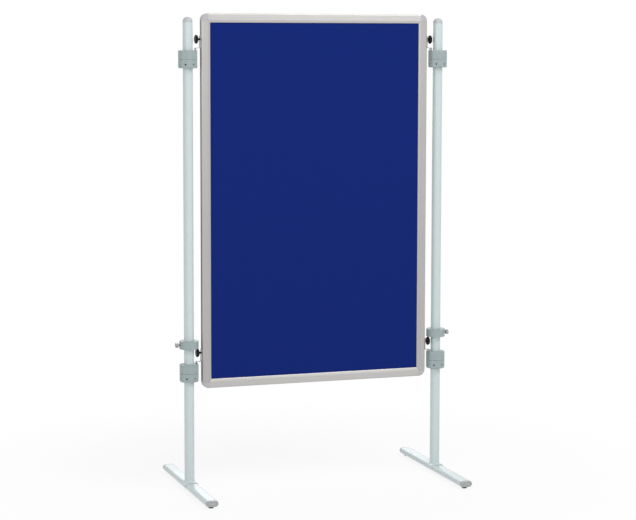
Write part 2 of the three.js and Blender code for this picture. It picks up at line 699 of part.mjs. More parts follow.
/** The framed panel, its middle at the origin of its group. */
function buildBoard() {
  const board = new THREE.Group();
  board.position.z = BOARD_MIDDLE;
  const x = BOARD_WIDTH / 2;
  const z = BOARD_HEIGHT / 2;
  place(board, "frame_left", frameBar(BOARD_HEIGHT), anodisedAluminium(), [-x, 0, 0]);
  place(board, "frame_right", frameBar(BOARD_HEIGHT), anodisedAluminium(), [x, 0, 0], [0, 0, Math.PI]);
  place(board, "frame_top", frameBar(BOARD_WIDTH), anodisedAluminium(), [0, 0, z], [0, Math.PI / 2, 0]);
  place(board, "frame_bottom", frameBar(BOARD_WIDTH), anodisedAluminium(), [0, 0, -z], [0, -Math.PI / 2, 0]);

  const cornerX = x - CHAMBER_FACE;
  const cornerZ = z - CHAMBER_FACE;
  const corners = [
    ["corner_top_left", [-cornerX, 0, cornerZ], 0],
    ["corner_top_right", [cornerX, 0, cornerZ], Math.PI / 2],
    ["corner_bottom_right", [cornerX, 0, -cornerZ], Math.PI],
    ["corner_bottom_left", [-cornerX, 0, -cornerZ], -Math.PI / 2],
  ];
  for (const [name, position, turn] of corners) {
    place(board, name, frameCorner(), greyCapPlastic(), position, [0, turn, 0]);
  }

  const feltInner = FELT_OUTER - FELT_THICKNESS;
  place(board, "panel_core", panelLayer(-CORE_HALF_DEPTH, CORE_HALF_DEPTH), softBoard());
  place(board, "felt_front", panelLayer(-FELT_OUTER, -feltInner), royalBlueFelt());
  place(board, "felt_back", panelLayer(feltInner, FELT_OUTER), royalBlueFelt());
  return board;
}

/** One hook with all that fastens it, at the upper or the lower level of a side. */
function addHook(group, name, knobZ, frontSide) {
  const ringTop = knobZ - KNOB_RISE;
  const ringBottom = ringTop - HOOK_RING_HEIGHT;
  const clampBottom = ringBottom - FIT_GAP - CLAMP_RING_HEIGHT;
  const grubPlace = [0, 0, clampBottom + GRUB_HEIGHT];
  const grub = grubScrew().translate([POST_RADIUS + FIT_GAP, 0, 0]);
  place(group, `${name}_hook_ring`, hookRing(), greyRingPlastic(), [0, 0, ringBottom]);
  place(group, `${name}_clamp_ring`, clampRing(), greyRingPlastic(), [0, 0, clampBottom]);
  place(group, `${name}_grub_screw`, grub, blackSteel(), grubPlace, [0, 0, frontSide * RING_STEP]);
  place(group, `${name}_hook_bracket`, hookBracket(), zincSteel(), [0, 0, ringTop]);
  place(group, `${name}_slot_nut`, slotNut(), zincSteel(), [NUT_X, 0, knobZ]);
  place(group, `${name}_knob`, knob(), blackKnobPlastic(), [KNOB_X, 0, knobZ]);
  place(group, `${name}_knob_stud`, knobStud(), zincSteel(), [STUD_X, 0, knobZ]);
}

/** A foot with its caps and glides, in a side that is turned round by an angle. */
function addFoot(group, name, sideTurn) {
  place(group, `${name}_foot`, foot(), lightGreyPaint());
  place(group, `${name}_foot_bolt`, footBolt(), zincSteel());
  for (const end of FOOT_ENDS) {
    const half = new THREE.Group();
    half.rotation.z = end.turn - sideTurn;
    const capY = END_CAP_LENGTH - FOOT_LENGTH / 2;
    const glideY = GLIDE_INSET - FOOT_LENGTH / 2;
    place(half, `${name}_${end.name}_foot_cap`, footEndCap(), greyCapPlastic(), [0, capY, FOOT_MIDDLE]);
    place(half, `${name}_${end.name}_glide`, glide(), blackRubber(), [0, glideY, 0]);
    group.add(half);
  }
}

/** One side of the partition: its stand, its lock ring and the two hooks that carry the board. */
function buildSide(side) {
  const group = new THREE.Group();
  group.position.x = side.x;
  group.rotation.z = side.turn;
  place(group, `${side.name}_post`, post(), lightGreyPaint());
  place(group, `${side.name}_post_cap`, postCap(), greyCapPlastic(), [0, 0, POST_TOP]);
  addFoot(group, side.name, side.turn);
  for (const level of LEVELS) {
    addHook(group, `${side.name}_${level}`, KNOB_Z[level], side.frontSide);
  }
  const screwZ = LOCK_RING_Z + LOCK_RING_HEIGHT / 2;
  place(group, `${side.name}_lock_ring`, lockRing(), greyRingPlastic(), [0, 0, LOCK_RING_Z]);
  place(group, `${side.name}_thumb_screw`, thumbScrew(), zincSteel(), [0, 0, screwZ]);
  return group;
}

const partition = new THREE.Group();
partition.add(buildBoard());
for (const side of SIDES) {
  partition.add(buildSide(side));
}

export default partition;
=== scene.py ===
"""The looks of a free-standing pinboard partition.

A felt-faced board in an aluminium frame hangs by four hooks between two round posts, and each post
stands on a flat-oval cross foot. The solids of the frame give every piece its place, and this script
gives it its fine shape and its finish. Metres, +Z up, the front of the board faces -Y.

Each stand is built in a frame of its own on the post's axis, where +X points towards the board, so
the right side is the left side turned half round.
"""

import json
import logging
import math
from collections.abc import Callable, Sequence
from dataclasses import dataclass, field
from enum import Enum

import bmesh
import bpy
from mathutils import Matrix, Vector, noise

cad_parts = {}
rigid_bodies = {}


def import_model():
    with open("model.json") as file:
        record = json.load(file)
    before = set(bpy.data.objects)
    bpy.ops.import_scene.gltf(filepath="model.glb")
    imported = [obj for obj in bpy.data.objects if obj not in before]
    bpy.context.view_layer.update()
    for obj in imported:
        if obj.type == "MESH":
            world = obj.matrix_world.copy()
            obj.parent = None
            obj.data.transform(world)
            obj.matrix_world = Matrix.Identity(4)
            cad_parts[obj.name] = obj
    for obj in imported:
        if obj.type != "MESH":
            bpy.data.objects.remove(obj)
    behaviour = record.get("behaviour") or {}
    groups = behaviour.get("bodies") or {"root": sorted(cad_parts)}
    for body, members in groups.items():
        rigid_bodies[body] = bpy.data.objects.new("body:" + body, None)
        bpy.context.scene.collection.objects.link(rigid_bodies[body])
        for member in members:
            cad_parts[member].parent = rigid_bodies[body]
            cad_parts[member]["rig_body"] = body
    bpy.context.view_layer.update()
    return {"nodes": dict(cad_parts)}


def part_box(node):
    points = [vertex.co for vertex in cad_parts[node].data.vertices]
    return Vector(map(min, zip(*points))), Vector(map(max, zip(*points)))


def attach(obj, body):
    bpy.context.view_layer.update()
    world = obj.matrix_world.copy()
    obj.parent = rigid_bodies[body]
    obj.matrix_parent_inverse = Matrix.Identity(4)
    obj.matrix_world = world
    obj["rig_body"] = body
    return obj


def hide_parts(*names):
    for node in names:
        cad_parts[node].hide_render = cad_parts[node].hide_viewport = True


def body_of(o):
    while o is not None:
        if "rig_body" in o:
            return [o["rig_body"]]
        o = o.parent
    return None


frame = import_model()

MM = 0.001
GIRTH_MAP = "girth"  # the map whose U runs round a drawn bar
LOG = logging.getLogger("partition")

Point = tuple[float, float, float]
Outline = list[tuple[float, float]]
Levels = list[tuple[float, float]]
Pairs = tuple[tuple[float, float], ...]
Socket = bpy.types.NodeSocket
Value = float | tuple[float, ...] | bpy.types.NodeSocket

WHITE = (1.0, 1.0, 1.0, 1.0)
CLOUD_REACH = (0.3, 0.7)  # where nearly all values of a cloud pattern lie
CREASE = 32.0  # degrees over which an edge stays sharp, unless a piece has its own angle
HOLE_SIDES = 24
OVERLAP = 2 * MM  # how far a screw hole's cutter reaches into the bore

ALONG_X = Matrix.Rotation(math.pi / 2, 4, "Y")
ALONG_FRONT = Matrix.Rotation(math.pi / 2, 4, "X")
HALF_TURN = Matrix.Rotation(math.pi, 4, "Z")


# ---- Choices ----


class Slot(Enum):
    """The material slots of the record."""

    FRAME = "frame_aluminium"
    CORNER = "corner_plastic"
    CORE = "panel_core"
    FELT = "felt"
    PAINT = "post_paint"
    CAP = "cap_plastic"
    RING = "ring_plastic"
    KNOB = "knob_plastic"
    RUBBER = "glide_rubber"
    ZINC = "zinc_steel"
    BLACK = "black_steel"


class Side(Enum):
    """The two sides of the partition, with the turn of each side's own frame."""

    LEFT = 0.0
    RIGHT = math.pi

    @property
    def word(self) -> str:
        """The side's word in the names of nodes."""
        return self.name.lower()


class Level(Enum):
    """The two heights at which the board hangs on a post."""

    UPPER = "upper"
    LOWER = "lower"


class FootEnd(Enum):
    """The two ends of a foot, with the turn that takes the front end there."""

    FRONT = 0.0
    BACK = math.pi

    @property
    def word(self) -> str:
        """The end's word in the names of nodes."""
        return self.name.lower()


class Boolean(Enum):
    """What is done with a form's other forms."""

    CUT = "DIFFERENCE"
    JOIN = "UNION"


class Ends(Enum):
    """How the first and last loops of a loft are closed."""

    CAPPED = "each with a face of its own"
    JOINED = "to each other"


# ---- Outlines and loops ----


def softened(corners: Sequence[tuple[float, float, float]], steps: int = 5) -> Outline:
    """A closed outline with an arc at each corner.

    Args:
        corners: The x, the y and the radius of each corner, in order.
        steps: Segments on each arc.

    Returns:
        The points of the outline.
    """
    points: Outline = []
    for i, (x, y, radius) in enumerate(corners):
        if radius == 0:
            points.append((x, y))
            continue
        here = Vector((x, y))
        before = (Vector(corners[i - 1][:2]) - here).normalized()
        after = (Vector(corners[(i + 1) % len(corners)][:2]) - here).normalized()
        half = before.angle(after) / 2
        centre = here + (before + after).normalized() * (radius / math.sin(half))
        start = here + before * (radius / math.tan(half)) - centre
        end = here + after * (radius / math.tan(half)) - centre
        first = math.atan2(start.y, start.x)
        sweep = (math.atan2(end.y, end.x) - first + math.pi) % (2 * math.pi) - math.pi
        for k in range(steps + 1):
            angle = first + sweep * k / steps
            points.append((centre.x + radius * math.cos(angle), centre.y + radius * math.sin(angle)))
    return points


def around(count: int) -> list[float]:
    """Equal turns about an axis, the first of them 0."""
    return [2 * math.pi * i / count for i in range(count)]


def quarter_steps(steps: int) -> list[float]:
    """The turns from 0 to a quarter turn, in equal steps."""
    return [math.pi / 2 * i / steps for i in range(steps + 1)]


def polar(radius: float, turn: float, height: float) -> Point:
    """The point at a distance from Z, a turn about it and a height."""
    return radius * math.cos(turn), radius * math.sin(turn), height


def hoop(radius: float, count: int, height: float) -> list[Point]:
    """A round loop about Z, its first point on +X."""
    return [polar(radius, turn, height) for turn in around(count)]


def rectangle(width: float, height: float, radius: float, steps: int = 8) -> Outline:
    """A rectangle with rounded corners about the origin."""
    x, y = width / 2, height / 2
    corners = [(x, -y, radius), (x, y, radius), (-x, y, radius), (-x, -y, radius)]
    return softened(corners, steps)


def rounded_levels(low: float, high: float, radius: float, steps: int = 4) -> Levels:
    """The heights and insets of a push from low to high with rounded edges.

    Args:
        low: Height of the lower face.
        high: Height of the upper face.
        radius: Radius of both edges.
        steps: Segments on each edge.

    Returns:
        Pairs of a height and the inset of the outline there.
    """
    rise = [(radius * (1 - math.cos(t)), radius * (1 - math.sin(t))) for t in quarter_steps(steps)]
    return [(low + up, inset) for up, inset in rise] + [(high - up, inset) for up, inset in reversed(rise)]


# ---- Meshes ----


class Form:
    """A closed mesh in the making."""

    def __init__(self) -> None:
        """Starts an empty mesh."""
        self.bm = bmesh.new()

    def loft(self, loops: Sequence[Sequence[Point]], ends: Ends = Ends.CAPPED) -> "Form":
        """Adds a skin through loops with equal numbers of points.

        Args:
            loops: The loops, in order.
            ends: How the first and last loops are closed.

        Returns:
            This form.
        """
        rings = [[self.bm.verts.new(point) for point in loop] for loop in loops]
        pairs = list(zip(rings, rings[1:]))
        if ends is Ends.JOINED:
            pairs.append((rings[-1], rings[0]))
        else:
            self.bm.faces.new(list(reversed(rings[0])))
            self.bm.faces.new(rings[-1])
        for low, high in pairs:
            for i in range(len(low)):
                j = (i + 1) % len(low)
                self.bm.faces.new((low[i], low[j], high[j], high[i]))
        return self

    def push(self, outline: Callable[[float], Outline], levels: Levels) -> "Form":
        """Adds a solid whose outline at each height is inset by an amount of its own.

        Args:
            outline: The outline for an inset.
            levels: Pairs of a height and an inset.

        Returns:
            This form.
        """
        return self.loft([[(x, y, height) for x, y in outline(inset)] for height, inset in levels])

    def turn(self, profile: Outline, sides: int, ends: Ends = Ends.CAPPED) -> "Form":
        """Adds a solid turned about Z.

        Args:
            profile: Pairs of a radius over zero and a height.
            sides: Facets round the axis.
            ends: JOINED for a ring, CAPPED for a solid that closes at both ends.

        Returns:
            This form.
        """
        return self.loft([hoop(radius, sides, height) for radius, height in profile], ends)

    def block(self, low: Point, high: Point, radius: float, steps: int = 3) -> "Form":
        """Adds a box with edges rounded along Z and at both ends.

        Args:
            low: Its lowest corner.
            high: Its highest corner.
            radius: Radius of the edges.
            steps: Segments on each edge.

        Returns:
            This form.
        """
        size = [b - a for a, b in zip(low, high)]
        middle = [(a + b) / 2 for a, b in zip(low, high)]
        upright = radius * 1.05  # a little more, so that the inset corners stay round

        def outline(inset: float) -> Outline:
            """The box's outline, smaller by an inset."""
            points = rectangle(size[0] - 2 * inset, size[1] - 2 * inset, upright - inset, steps)
            return [(x + middle[0], y + middle[1]) for x, y in points]

        return self.push(outline, rounded_levels(low[2], high[2], radius, steps))

    def unrolled(self, outline: Outline, name: str) -> "Form":
        """Maps the skin of a loft, with U round its outline and V along its height.

        Args:
            outline: The outline of every loop.
            name: Name of the map.

        Returns:
            This form.
        """
        girth = [0.0]
        for here, after in zip(outline, outline[1:] + outline[:1]):
            girth.append(girth[-1] + math.dist(here, after))
        count = len(outline)
        layer = self.bm.loops.layers.uv.new(name)
        self.bm.verts.index_update()
        for face in self.bm.faces:
            steps = [loop.vert.index % count for loop in face.loops]
            at_seam = 0 in steps and count - 1 in steps
            for loop, step in zip(face.loops, steps):
                place = count if at_seam and step == 0 else step
                loop[layer].uv = (girth[place], loop.vert.co.z)
        return self

    def split_caps(self) -> "Form":
        """Splits the faces of more than four corners into triangles."""
        bmesh.ops.triangulate(self.bm, faces=[face for face in self.bm.faces if len(face.verts) > 4])
        return self

    def moved(self, place: Matrix) -> "Form":
        """Moves all that was added so far."""
        bmesh.ops.transform(self.bm, matrix=place, verts=self.bm.verts)
        return self

    def mesh(self, name: str, crease: float = CREASE) -> bpy.types.Mesh:
        """The finished mesh, smooth but for its creases.

        Args:
            name: Name of the mesh.
            crease: The angle in degrees over which an edge stays sharp.

        Returns:
            The mesh, with its faces pointing out.
        """
        bmesh.ops.recalc_face_normals(self.bm, faces=self.bm.faces)
        for face in self.bm.faces:
            face.smooth = True
        for edge in self.bm.edges:
            edge.smooth = edge.calc_face_angle(0.0) < math.radians(crease)
        mesh = bpy.data.meshes.new(name)
        self.bm.to_mesh(mesh)
        self.bm.free()
        return mesh


def combined(
    name: str,
    body: Form,
    others: Sequence[Form],
    way: Boolean,
    crease: float = CREASE,
) -> bpy.types.Mesh:
    """A form's mesh with other forms cut away or joined on.

    Args:
        name: Name of the mesh.
        body: The form that is changed.
        others: The other forms, which meet each other only when they are joined on.
        way: Whether they are cut away or joined on.
        crease: The angle in degrees over which an edge stays sharp.

    Returns:
        The new mesh.
    """
    block = bpy.data.objects.new("block", body.mesh("block"))
    helpers = [bpy.data.objects.new("tool", other.mesh("tool")) for other in others]
    group = bpy.data.collections.new("tools")
    for helper in helpers:
        group.objects.link(helper)
    scene = bpy.context.scene.collection
    scene.objects.link(block)
    scene.children.link(group)
    change = block.modifiers.new("change", "BOOLEAN")
    change.operation = way.value
    change.solver = "EXACT"
    change.operand_type = "COLLECTION"
    change.collection = group
    solved = block.evaluated_get(bpy.context.evaluated_depsgraph_get())
    result = Form()
    result.bm.from_mesh(bpy.data.meshes.new_from_object(solved))
    for helper in (block, *helpers):
        bpy.data.objects.remove(helper)
    bpy.data.collections.remove(group)
    return result.mesh(name, crease)


# ---- Finishes ----


def linear(colour: str) -> tuple[float, float, float, float]:
    """A colour such as d0d9d8 as the linear values that a shader takes."""
    shares = [int(colour[i:i + 2], 16) / 255 for i in (0, 2, 4)]
    red, green, blue = (s / 12.92 if s <= 0.04045 else ((s + 0.055) / 1.055) ** 2.4 for s in shares)
    return red, green, blue, 1.0


class Nodes:
    """The node tree of a material or of the world."""

    def __init__(self, owner: bpy.types.Material | bpy.types.World) -> None:
        """Turns on the owner's nodes.

        Args:
            owner: The material or world.
        """
        owner.use_nodes = True
        self.tree = owner.node_tree

    def feed(self, node: bpy.types.Node, **values: Value) -> None:
        """Sets sockets of a node, or links them to their sources.

        Args:
            node: The node.
            values: A value or a source for each socket, with _ for a space in its name.
        """
        for name, value in values.items():
            target = node.inputs[name.replace("_", " ")]
            if isinstance(value, bpy.types.NodeSocket):
                self.tree.links.new(value, target)
            else:
                target.default_value = value

    def add(self, kind: str, **values: Value) -> bpy.types.Node:
        """Adds a node, with values or sources for its sockets."""
        node = self.tree.nodes.new("ShaderNode" + kind)
        self.feed(node, **values)
        return node

    def maths(self, operation: str, first: Socket, second: Socket) -> Socket:
        """The outcome of an operation on two values."""
        node = self.add("Math")
        node.operation = operation
        self.tree.links.new(first, node.inputs[0])
        self.tree.links.new(second, node.inputs[1])
        return node.outputs["Value"]

    def blend(self, share: Socket, first: Socket, second: Socket) -> Socket:
        """Two surfaces mixed, where a share of 1 is the second alone."""
        node = self.add("MixShader", Fac=share)
        self.tree.links.new(first, node.inputs[1])
        self.tree.links.new(second, node.inputs[2])
        return node.outputs["Shader"]


class Shader(Nodes):
    """The nodes of one material, with its main shader."""

    def __init__(self, name: str) -> None:
        """Starts a material with its main shader.

        Args:
            name: Name of the material.
        """
        self.material = bpy.data.materials.new(name)
        super().__init__(self.material)
        self.surface = self.tree.nodes["Principled BSDF"]
        self.place = self.add("TexCoord").outputs["Object"]

    def fix(self, **values: Value) -> None:
        """Sets or links the main shader's own sockets."""
        self.feed(self.surface, **values)

    def clouds(self, per_metre: float, detail: float = 2.0, stretch: Point = (1, 1, 1)) -> Socket:
        """A soft random pattern.

        Args:
            per_metre: Its waves in a metre.
            detail: How many finer waves it holds.
            stretch: How much denser it is along each axis.

        Returns:
            A value from 0 to 1, mostly near 0.5.
        """
        place = self.add("Mapping", Scale=stretch, Vector=self.place).outputs["Vector"]
        return self.add("TexNoise", Scale=per_metre, Detail=detail, Vector=place).outputs["Fac"]

    def cells(self, per_metre: float) -> Socket:
        """The distance to the nearest of many scattered points, from 0 to about 1."""
        return self.add("TexVoronoi", Scale=per_metre, Vector=self.place).outputs["Distance"]

    def ranged(self, source: Socket, reach: Outline) -> Socket:
        """A value carried from one range to another.

        Args:
            source: The value.
            reach: Its range, and then the range that it is carried to.

        Returns:
            The new value.
        """
        (low, high), (new_low, new_high) = reach
        node = self.add("MapRange", Value=source, From_Min=low, From_Max=high)
        self.feed(node, To_Min=new_low, To_Max=new_high)
        return node.outputs["Result"]

    def product(self, first: Socket, second: Socket) -> Socket:
        """Two values multiplied."""
        return self.maths("MULTIPLY", first, second)

    def colour(self, share: Socket, low: str, high: str) -> None:
        """Colours the surface between two colours.

        Args:
            share: 0 for the first colour, 1 for the second.
            low: The first colour.
            high: The second colour.
        """
        node = self.add("Mix")
        node.data_type = "RGBA"
        ends = [socket for socket in node.inputs if socket.type == "RGBA"]
        for end, written in zip(ends, (low, high)):
            end.default_value = linear(written)
        self.feed(node, Factor=share)
        self.fix(Base_Color=next(socket for socket in node.outputs if socket.type == "RGBA"))

    def roughness(self, source: Socket, low: float, high: float) -> None:
        """Lets the roughness run from low to high with a pattern."""
        self.fix(Roughness=self.ranged(source, [CLOUD_REACH, (low, high)]))

    def drawn_along_girth(self, spread: float) -> None:
        """Spreads the gloss across the lines of a drawn bar, as the lines themselves do.

        Args:
            spread: How uneven the gloss is, from 0 to 1.
        """
        tangent = self.add("Tangent")
        tangent.direction_type = "UV_MAP"
        tangent.uv_map = GIRTH_MAP
        self.fix(Anisotropic=spread, Tangent=tangent.outputs["Tangent"])

    def relief(self, source: Socket, depth: float, strength: float = 1.0) -> None:
        """Raises the surface by a pattern, on top of any relief it has.

        Args:
            source: The pattern, from 0 to 1.
            depth: Its height in metres.
            strength: How much of it shows.
        """
        bump = self.add("Bump", Distance=depth, Strength=strength, Height=source)
        target = self.surface.inputs["Normal"]
        if target.is_linked:
            self.feed(bump, Normal=target.links[0].from_socket)
        self.fix(Normal=bump.outputs["Normal"])


@dataclass(frozen=True)
class Finish:
    """The look of a material."""

    name: str

    def dress(self, shader: Shader) -> None:
        """Gives a shader this finish's colours, gloss and relief."""
        raise NotImplementedError

    def material(self) -> bpy.types.Material:
        """A new material with this finish."""
        shader = Shader(self.name)
        self.dress(shader)
        return shader.material


@dataclass(frozen=True)
class PowderCoat(Finish):
    """Light grey powder coat with a fine orange-peel surface."""

    name: str = "powder_coat"
    light: str = "cbd7d8"
    dark: str = "c8d4d5"
    peel_per_metre: float = 620.0
    peel_depth: float = 0.008 * MM

    def dress(self, shader: Shader) -> None:
        """Gives a shader this finish's colours, gloss and relief."""
        shader.fix(Metallic=0.0, Coat_Weight=0.12, Coat_Roughness=0.25)
        shader.colour(shader.clouds(per_metre=14.0, detail=4.0), self.dark, self.light)
        shader.roughness(shader.clouds(per_metre=60.0, detail=3.0), low=0.28, high=0.32)
        shader.relief(shader.clouds(self.peel_per_metre, detail=1.0), depth=self.peel_depth, strength=0.4)


@dataclass(frozen=True)
class AnodisedAluminium(Finish):
    """Satin anodised aluminium with fine lines along Z, the way its bars were drawn."""

    name: str = "anodised_aluminium"
    light: str = "c1bfbd"
    dark: str = "b6b4b2"
    spread: float = 0.75
    lines_per_metre: float = 1500.0
    line_stretch: float = 0.004

    def dress(self, shader: Shader) -> None:
        """Gives a shader this finish's colours, gloss and relief."""
        lines = shader.clouds(self.lines_per_metre, detail=3.0, stretch=(1.0, 1.0, self.line_stretch))
        shader.fix(Metallic=0.85)
        shader.drawn_along_girth(self.spread)
        patches = shader.ranged(shader.clouds(per_metre=22.0), [CLOUD_REACH, (0.8, 1.2)])
        shader.colour(shader.product(lines, patches), self.dark, self.light)
        shader.roughness(lines, low=0.38, high=0.5)
        shader.relief(lines, depth=0.012 * MM, strength=0.5)


@dataclass(frozen=True)
class WoolFelt(Finish):
    """Needled blue felt: short matted fibres, with a soft sheen."""

    name: str = "blue_felt"
    light: str = "172c7a"
    dark: str = "112266"
    sheen: str = "5f78c8"
    fibres_per_metre: float = 1100.0
    mats_per_metre: float = 220.0

    def dress(self, shader: Shader) -> None:
        """Gives a shader this finish's colours, gloss and relief."""
        shader.fix(Metallic=0.0, Roughness=0.95, Specular_IOR_Level=0.05)
        shader.fix(Sheen_Weight=0.03, Sheen_Roughness=0.5, Sheen_Tint=linear(self.sheen))
        fibres = shader.clouds(self.fibres_per_metre, detail=5.0, stretch=(1.0, 1.0, 0.55))
        crossed = shader.clouds(self.fibres_per_metre * 0.8, detail=5.0, stretch=(0.5, 1.0, 1.0))
        mats = shader.clouds(self.mats_per_metre, detail=4.0)
        mixed = shader.product(shader.product(fibres, crossed), shader.ranged(mats, [(0.0, 1.0), (0.8, 1.2)]))
        shader.colour(shader.ranged(mixed, [(0.12, 0.38), (0.0, 1.0)]), self.dark, self.light)
        shader.relief(fibres, depth=0.3 * MM, strength=0.4)
        shader.relief(crossed, depth=0.25 * MM, strength=0.35)
        shader.relief(mats, depth=0.2 * MM, strength=0.15)


@dataclass(frozen=True)
class MouldedPlastic(Finish):
    """Moulded plastic with a fine spark-eroded grain."""

    light: str
    dark: str
    smooth: float = 0.42
    rough: float = 0.56
    gloss: float = 0.5
    grain_per_metre: float = 1900.0
    grain_depth: float = 0.02 * MM

    def dress(self, shader: Shader) -> None:
        """Gives a shader this finish's colours, gloss and relief."""
        shader.fix(Metallic=0.0, Specular_IOR_Level=self.gloss)
        shader.colour(shader.clouds(per_metre=60.0, detail=3.0), self.dark, self.light)
        shader.roughness(shader.clouds(per_metre=260.0, detail=3.0), self.smooth, self.rough)
        shader.relief(shader.clouds(self.grain_per_metre, detail=2.0), depth=self.grain_depth, strength=0.6)


@dataclass(frozen=True)
class PlatedSteel(Finish):
    """Zinc-plated or blackened steel with small marks; a dark copy paints the shade inside the hollow frame
    bars.
    """

    light: str
    dark: str
    metal: float = 0.95

    def dress(self, shader: Shader) -> None:
        """Gives a shader this finish's colours, gloss and relief."""
        shader.fix(Metallic=self.metal)
        shader.colour(shader.cells(per_metre=420.0), self.dark, self.light)
        shader.roughness(shader.clouds(per_metre=300.0, detail=4.0), low=0.3, high=0.46)
        shader.relief(shader.clouds(per_metre=1100.0, detail=3.0), depth=0.01 * MM, strength=0.6)


@dataclass(frozen=True)
class Rubber(Finish):
    """Dark rubber with a dull, slightly dusty skin."""

    name: str = "dark_rubber"

    def dress(self, shader: Shader) -> None:
        """Gives a shader this finish's colours, gloss and relief."""
        shader.fix(Metallic=0.0, Specular_IOR_Level=0.35)
        shader.colour(shader.clouds(per_metre=240.0, detail=4.0), "3b3b3c", "505151")
        shader.roughness(shader.clouds(per_metre=400.0, detail=3.0), low=0.7, high=0.88)
        shader.relief(shader.clouds(per_metre=1400.0, detail=3.0), depth=0.03 * MM, strength=0.7)


@dataclass(frozen=True)
class FibreBoard(Finish):
    """Soft pressed fibre board."""

    name: str = "fibre_board"

    def dress(self, shader: Shader) -> None:
        """Gives a shader this finish's colours, gloss and relief."""
        shader.fix(Metallic=0.0)
        shader.colour(shader.clouds(per_metre=700.0, detail=6.0, stretch=(1.0, 0.3, 1.0)), "7d6c52", "b7a584")
        shader.roughness(shader.clouds(per_metre=500.0, detail=3.0), low=0.85, high=0.98)
        shader.relief(shader.clouds(per_metre=800.0, detail=5.0), depth=0.3 * MM, strength=0.8)


class Workshop:
    """Holds one material for each finish and sets the finished pieces in place."""

    def __init__(self) -> None:
        """Makes a material of every finish."""
        finishes: dict[Slot, Finish] = {
            Slot.FRAME: AnodisedAluminium(),
            Slot.CORNER: MouldedPlastic("corner_grey", "bcbabc", "b0aeb1"),
            Slot.CORE: FibreBoard(),
            Slot.FELT: WoolFelt(),
            Slot.PAINT: PowderCoat(),
            # the post domes take a lighter copy of this cap plastic, as painted highlight
            Slot.CAP: MouldedPlastic("cap_grey", "b1b2b2", "a8a9a9", 0.34, 0.46),
            Slot.RING: MouldedPlastic("ring_grey", "a0aeaf", "97a4a5"),
            Slot.KNOB: MouldedPlastic("knob_black", "110f10", "0c0b0b", 0.34, 0.46, 0.16),
            Slot.RUBBER: Rubber(),
            Slot.ZINC: PlatedSteel("zinc_plate", "a9abab", "8f9192"),
            Slot.BLACK: PlatedSteel("black_steel", "1d1e20", "121315", 0.2),
        }
        self.materials = {slot: finish.material() for slot, finish in finishes.items()}
        # painted shade: a dark, dull copy of the steel finish on the faces inside the bars' hollow, for the
        # shade in the groove
        self.chamber = PlatedSteel("bare_inside", "3c3c3b", "2b2b2b", 0.3).material()
        # painted highlight: a lighter copy of the cap plastic, for the light that falls on the domes from
        # above
        self.dome = MouldedPlastic("dome_grey", "bec3c5", "b5babd", 0.34, 0.46).material()

    def set_down(self, mesh: bpy.types.Mesh, node: str, place: Matrix, slot: Slot) -> bpy.types.Object:
        """Puts a piece where its solid is, and lets it ride with the solid's body.

        Args:
            mesh: The piece's mesh in its own frame.
            node: The node that it stands for.
            place: The piece's frame.
            slot: The slot of its finish.

        Returns:
            The piece.
        """
        if not mesh.materials:
            mesh.materials.append(self.materials[slot])
        piece = bpy.data.objects.new(node + "_form", mesh)
        bpy.context.scene.collection.objects.link(piece)
        piece.matrix_world = place
        shading = piece.modifiers.new("even_shading", "WEIGHTED_NORMAL")
        shading.keep_sharp = True
        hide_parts(node)
        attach(piece, body_of(frame["nodes"][node])[0])
        LOG.info("%s: %d points", piece.name, len(mesh.vertices))
        return piece

    def paint(self, node: str, slot: Slot) -> None:
        """Gives a solid that stays in view the material of a slot."""
        solid = frame["nodes"][node]
        solid.data.materials.clear()
        solid.data.materials.append(self.materials[slot])
        LOG.info("%s: kept", node)


def raised(height: float) -> Matrix:
    """A place on the axis at a height."""
    return Matrix.Translation((0, 0, height))


# ---- Board ----


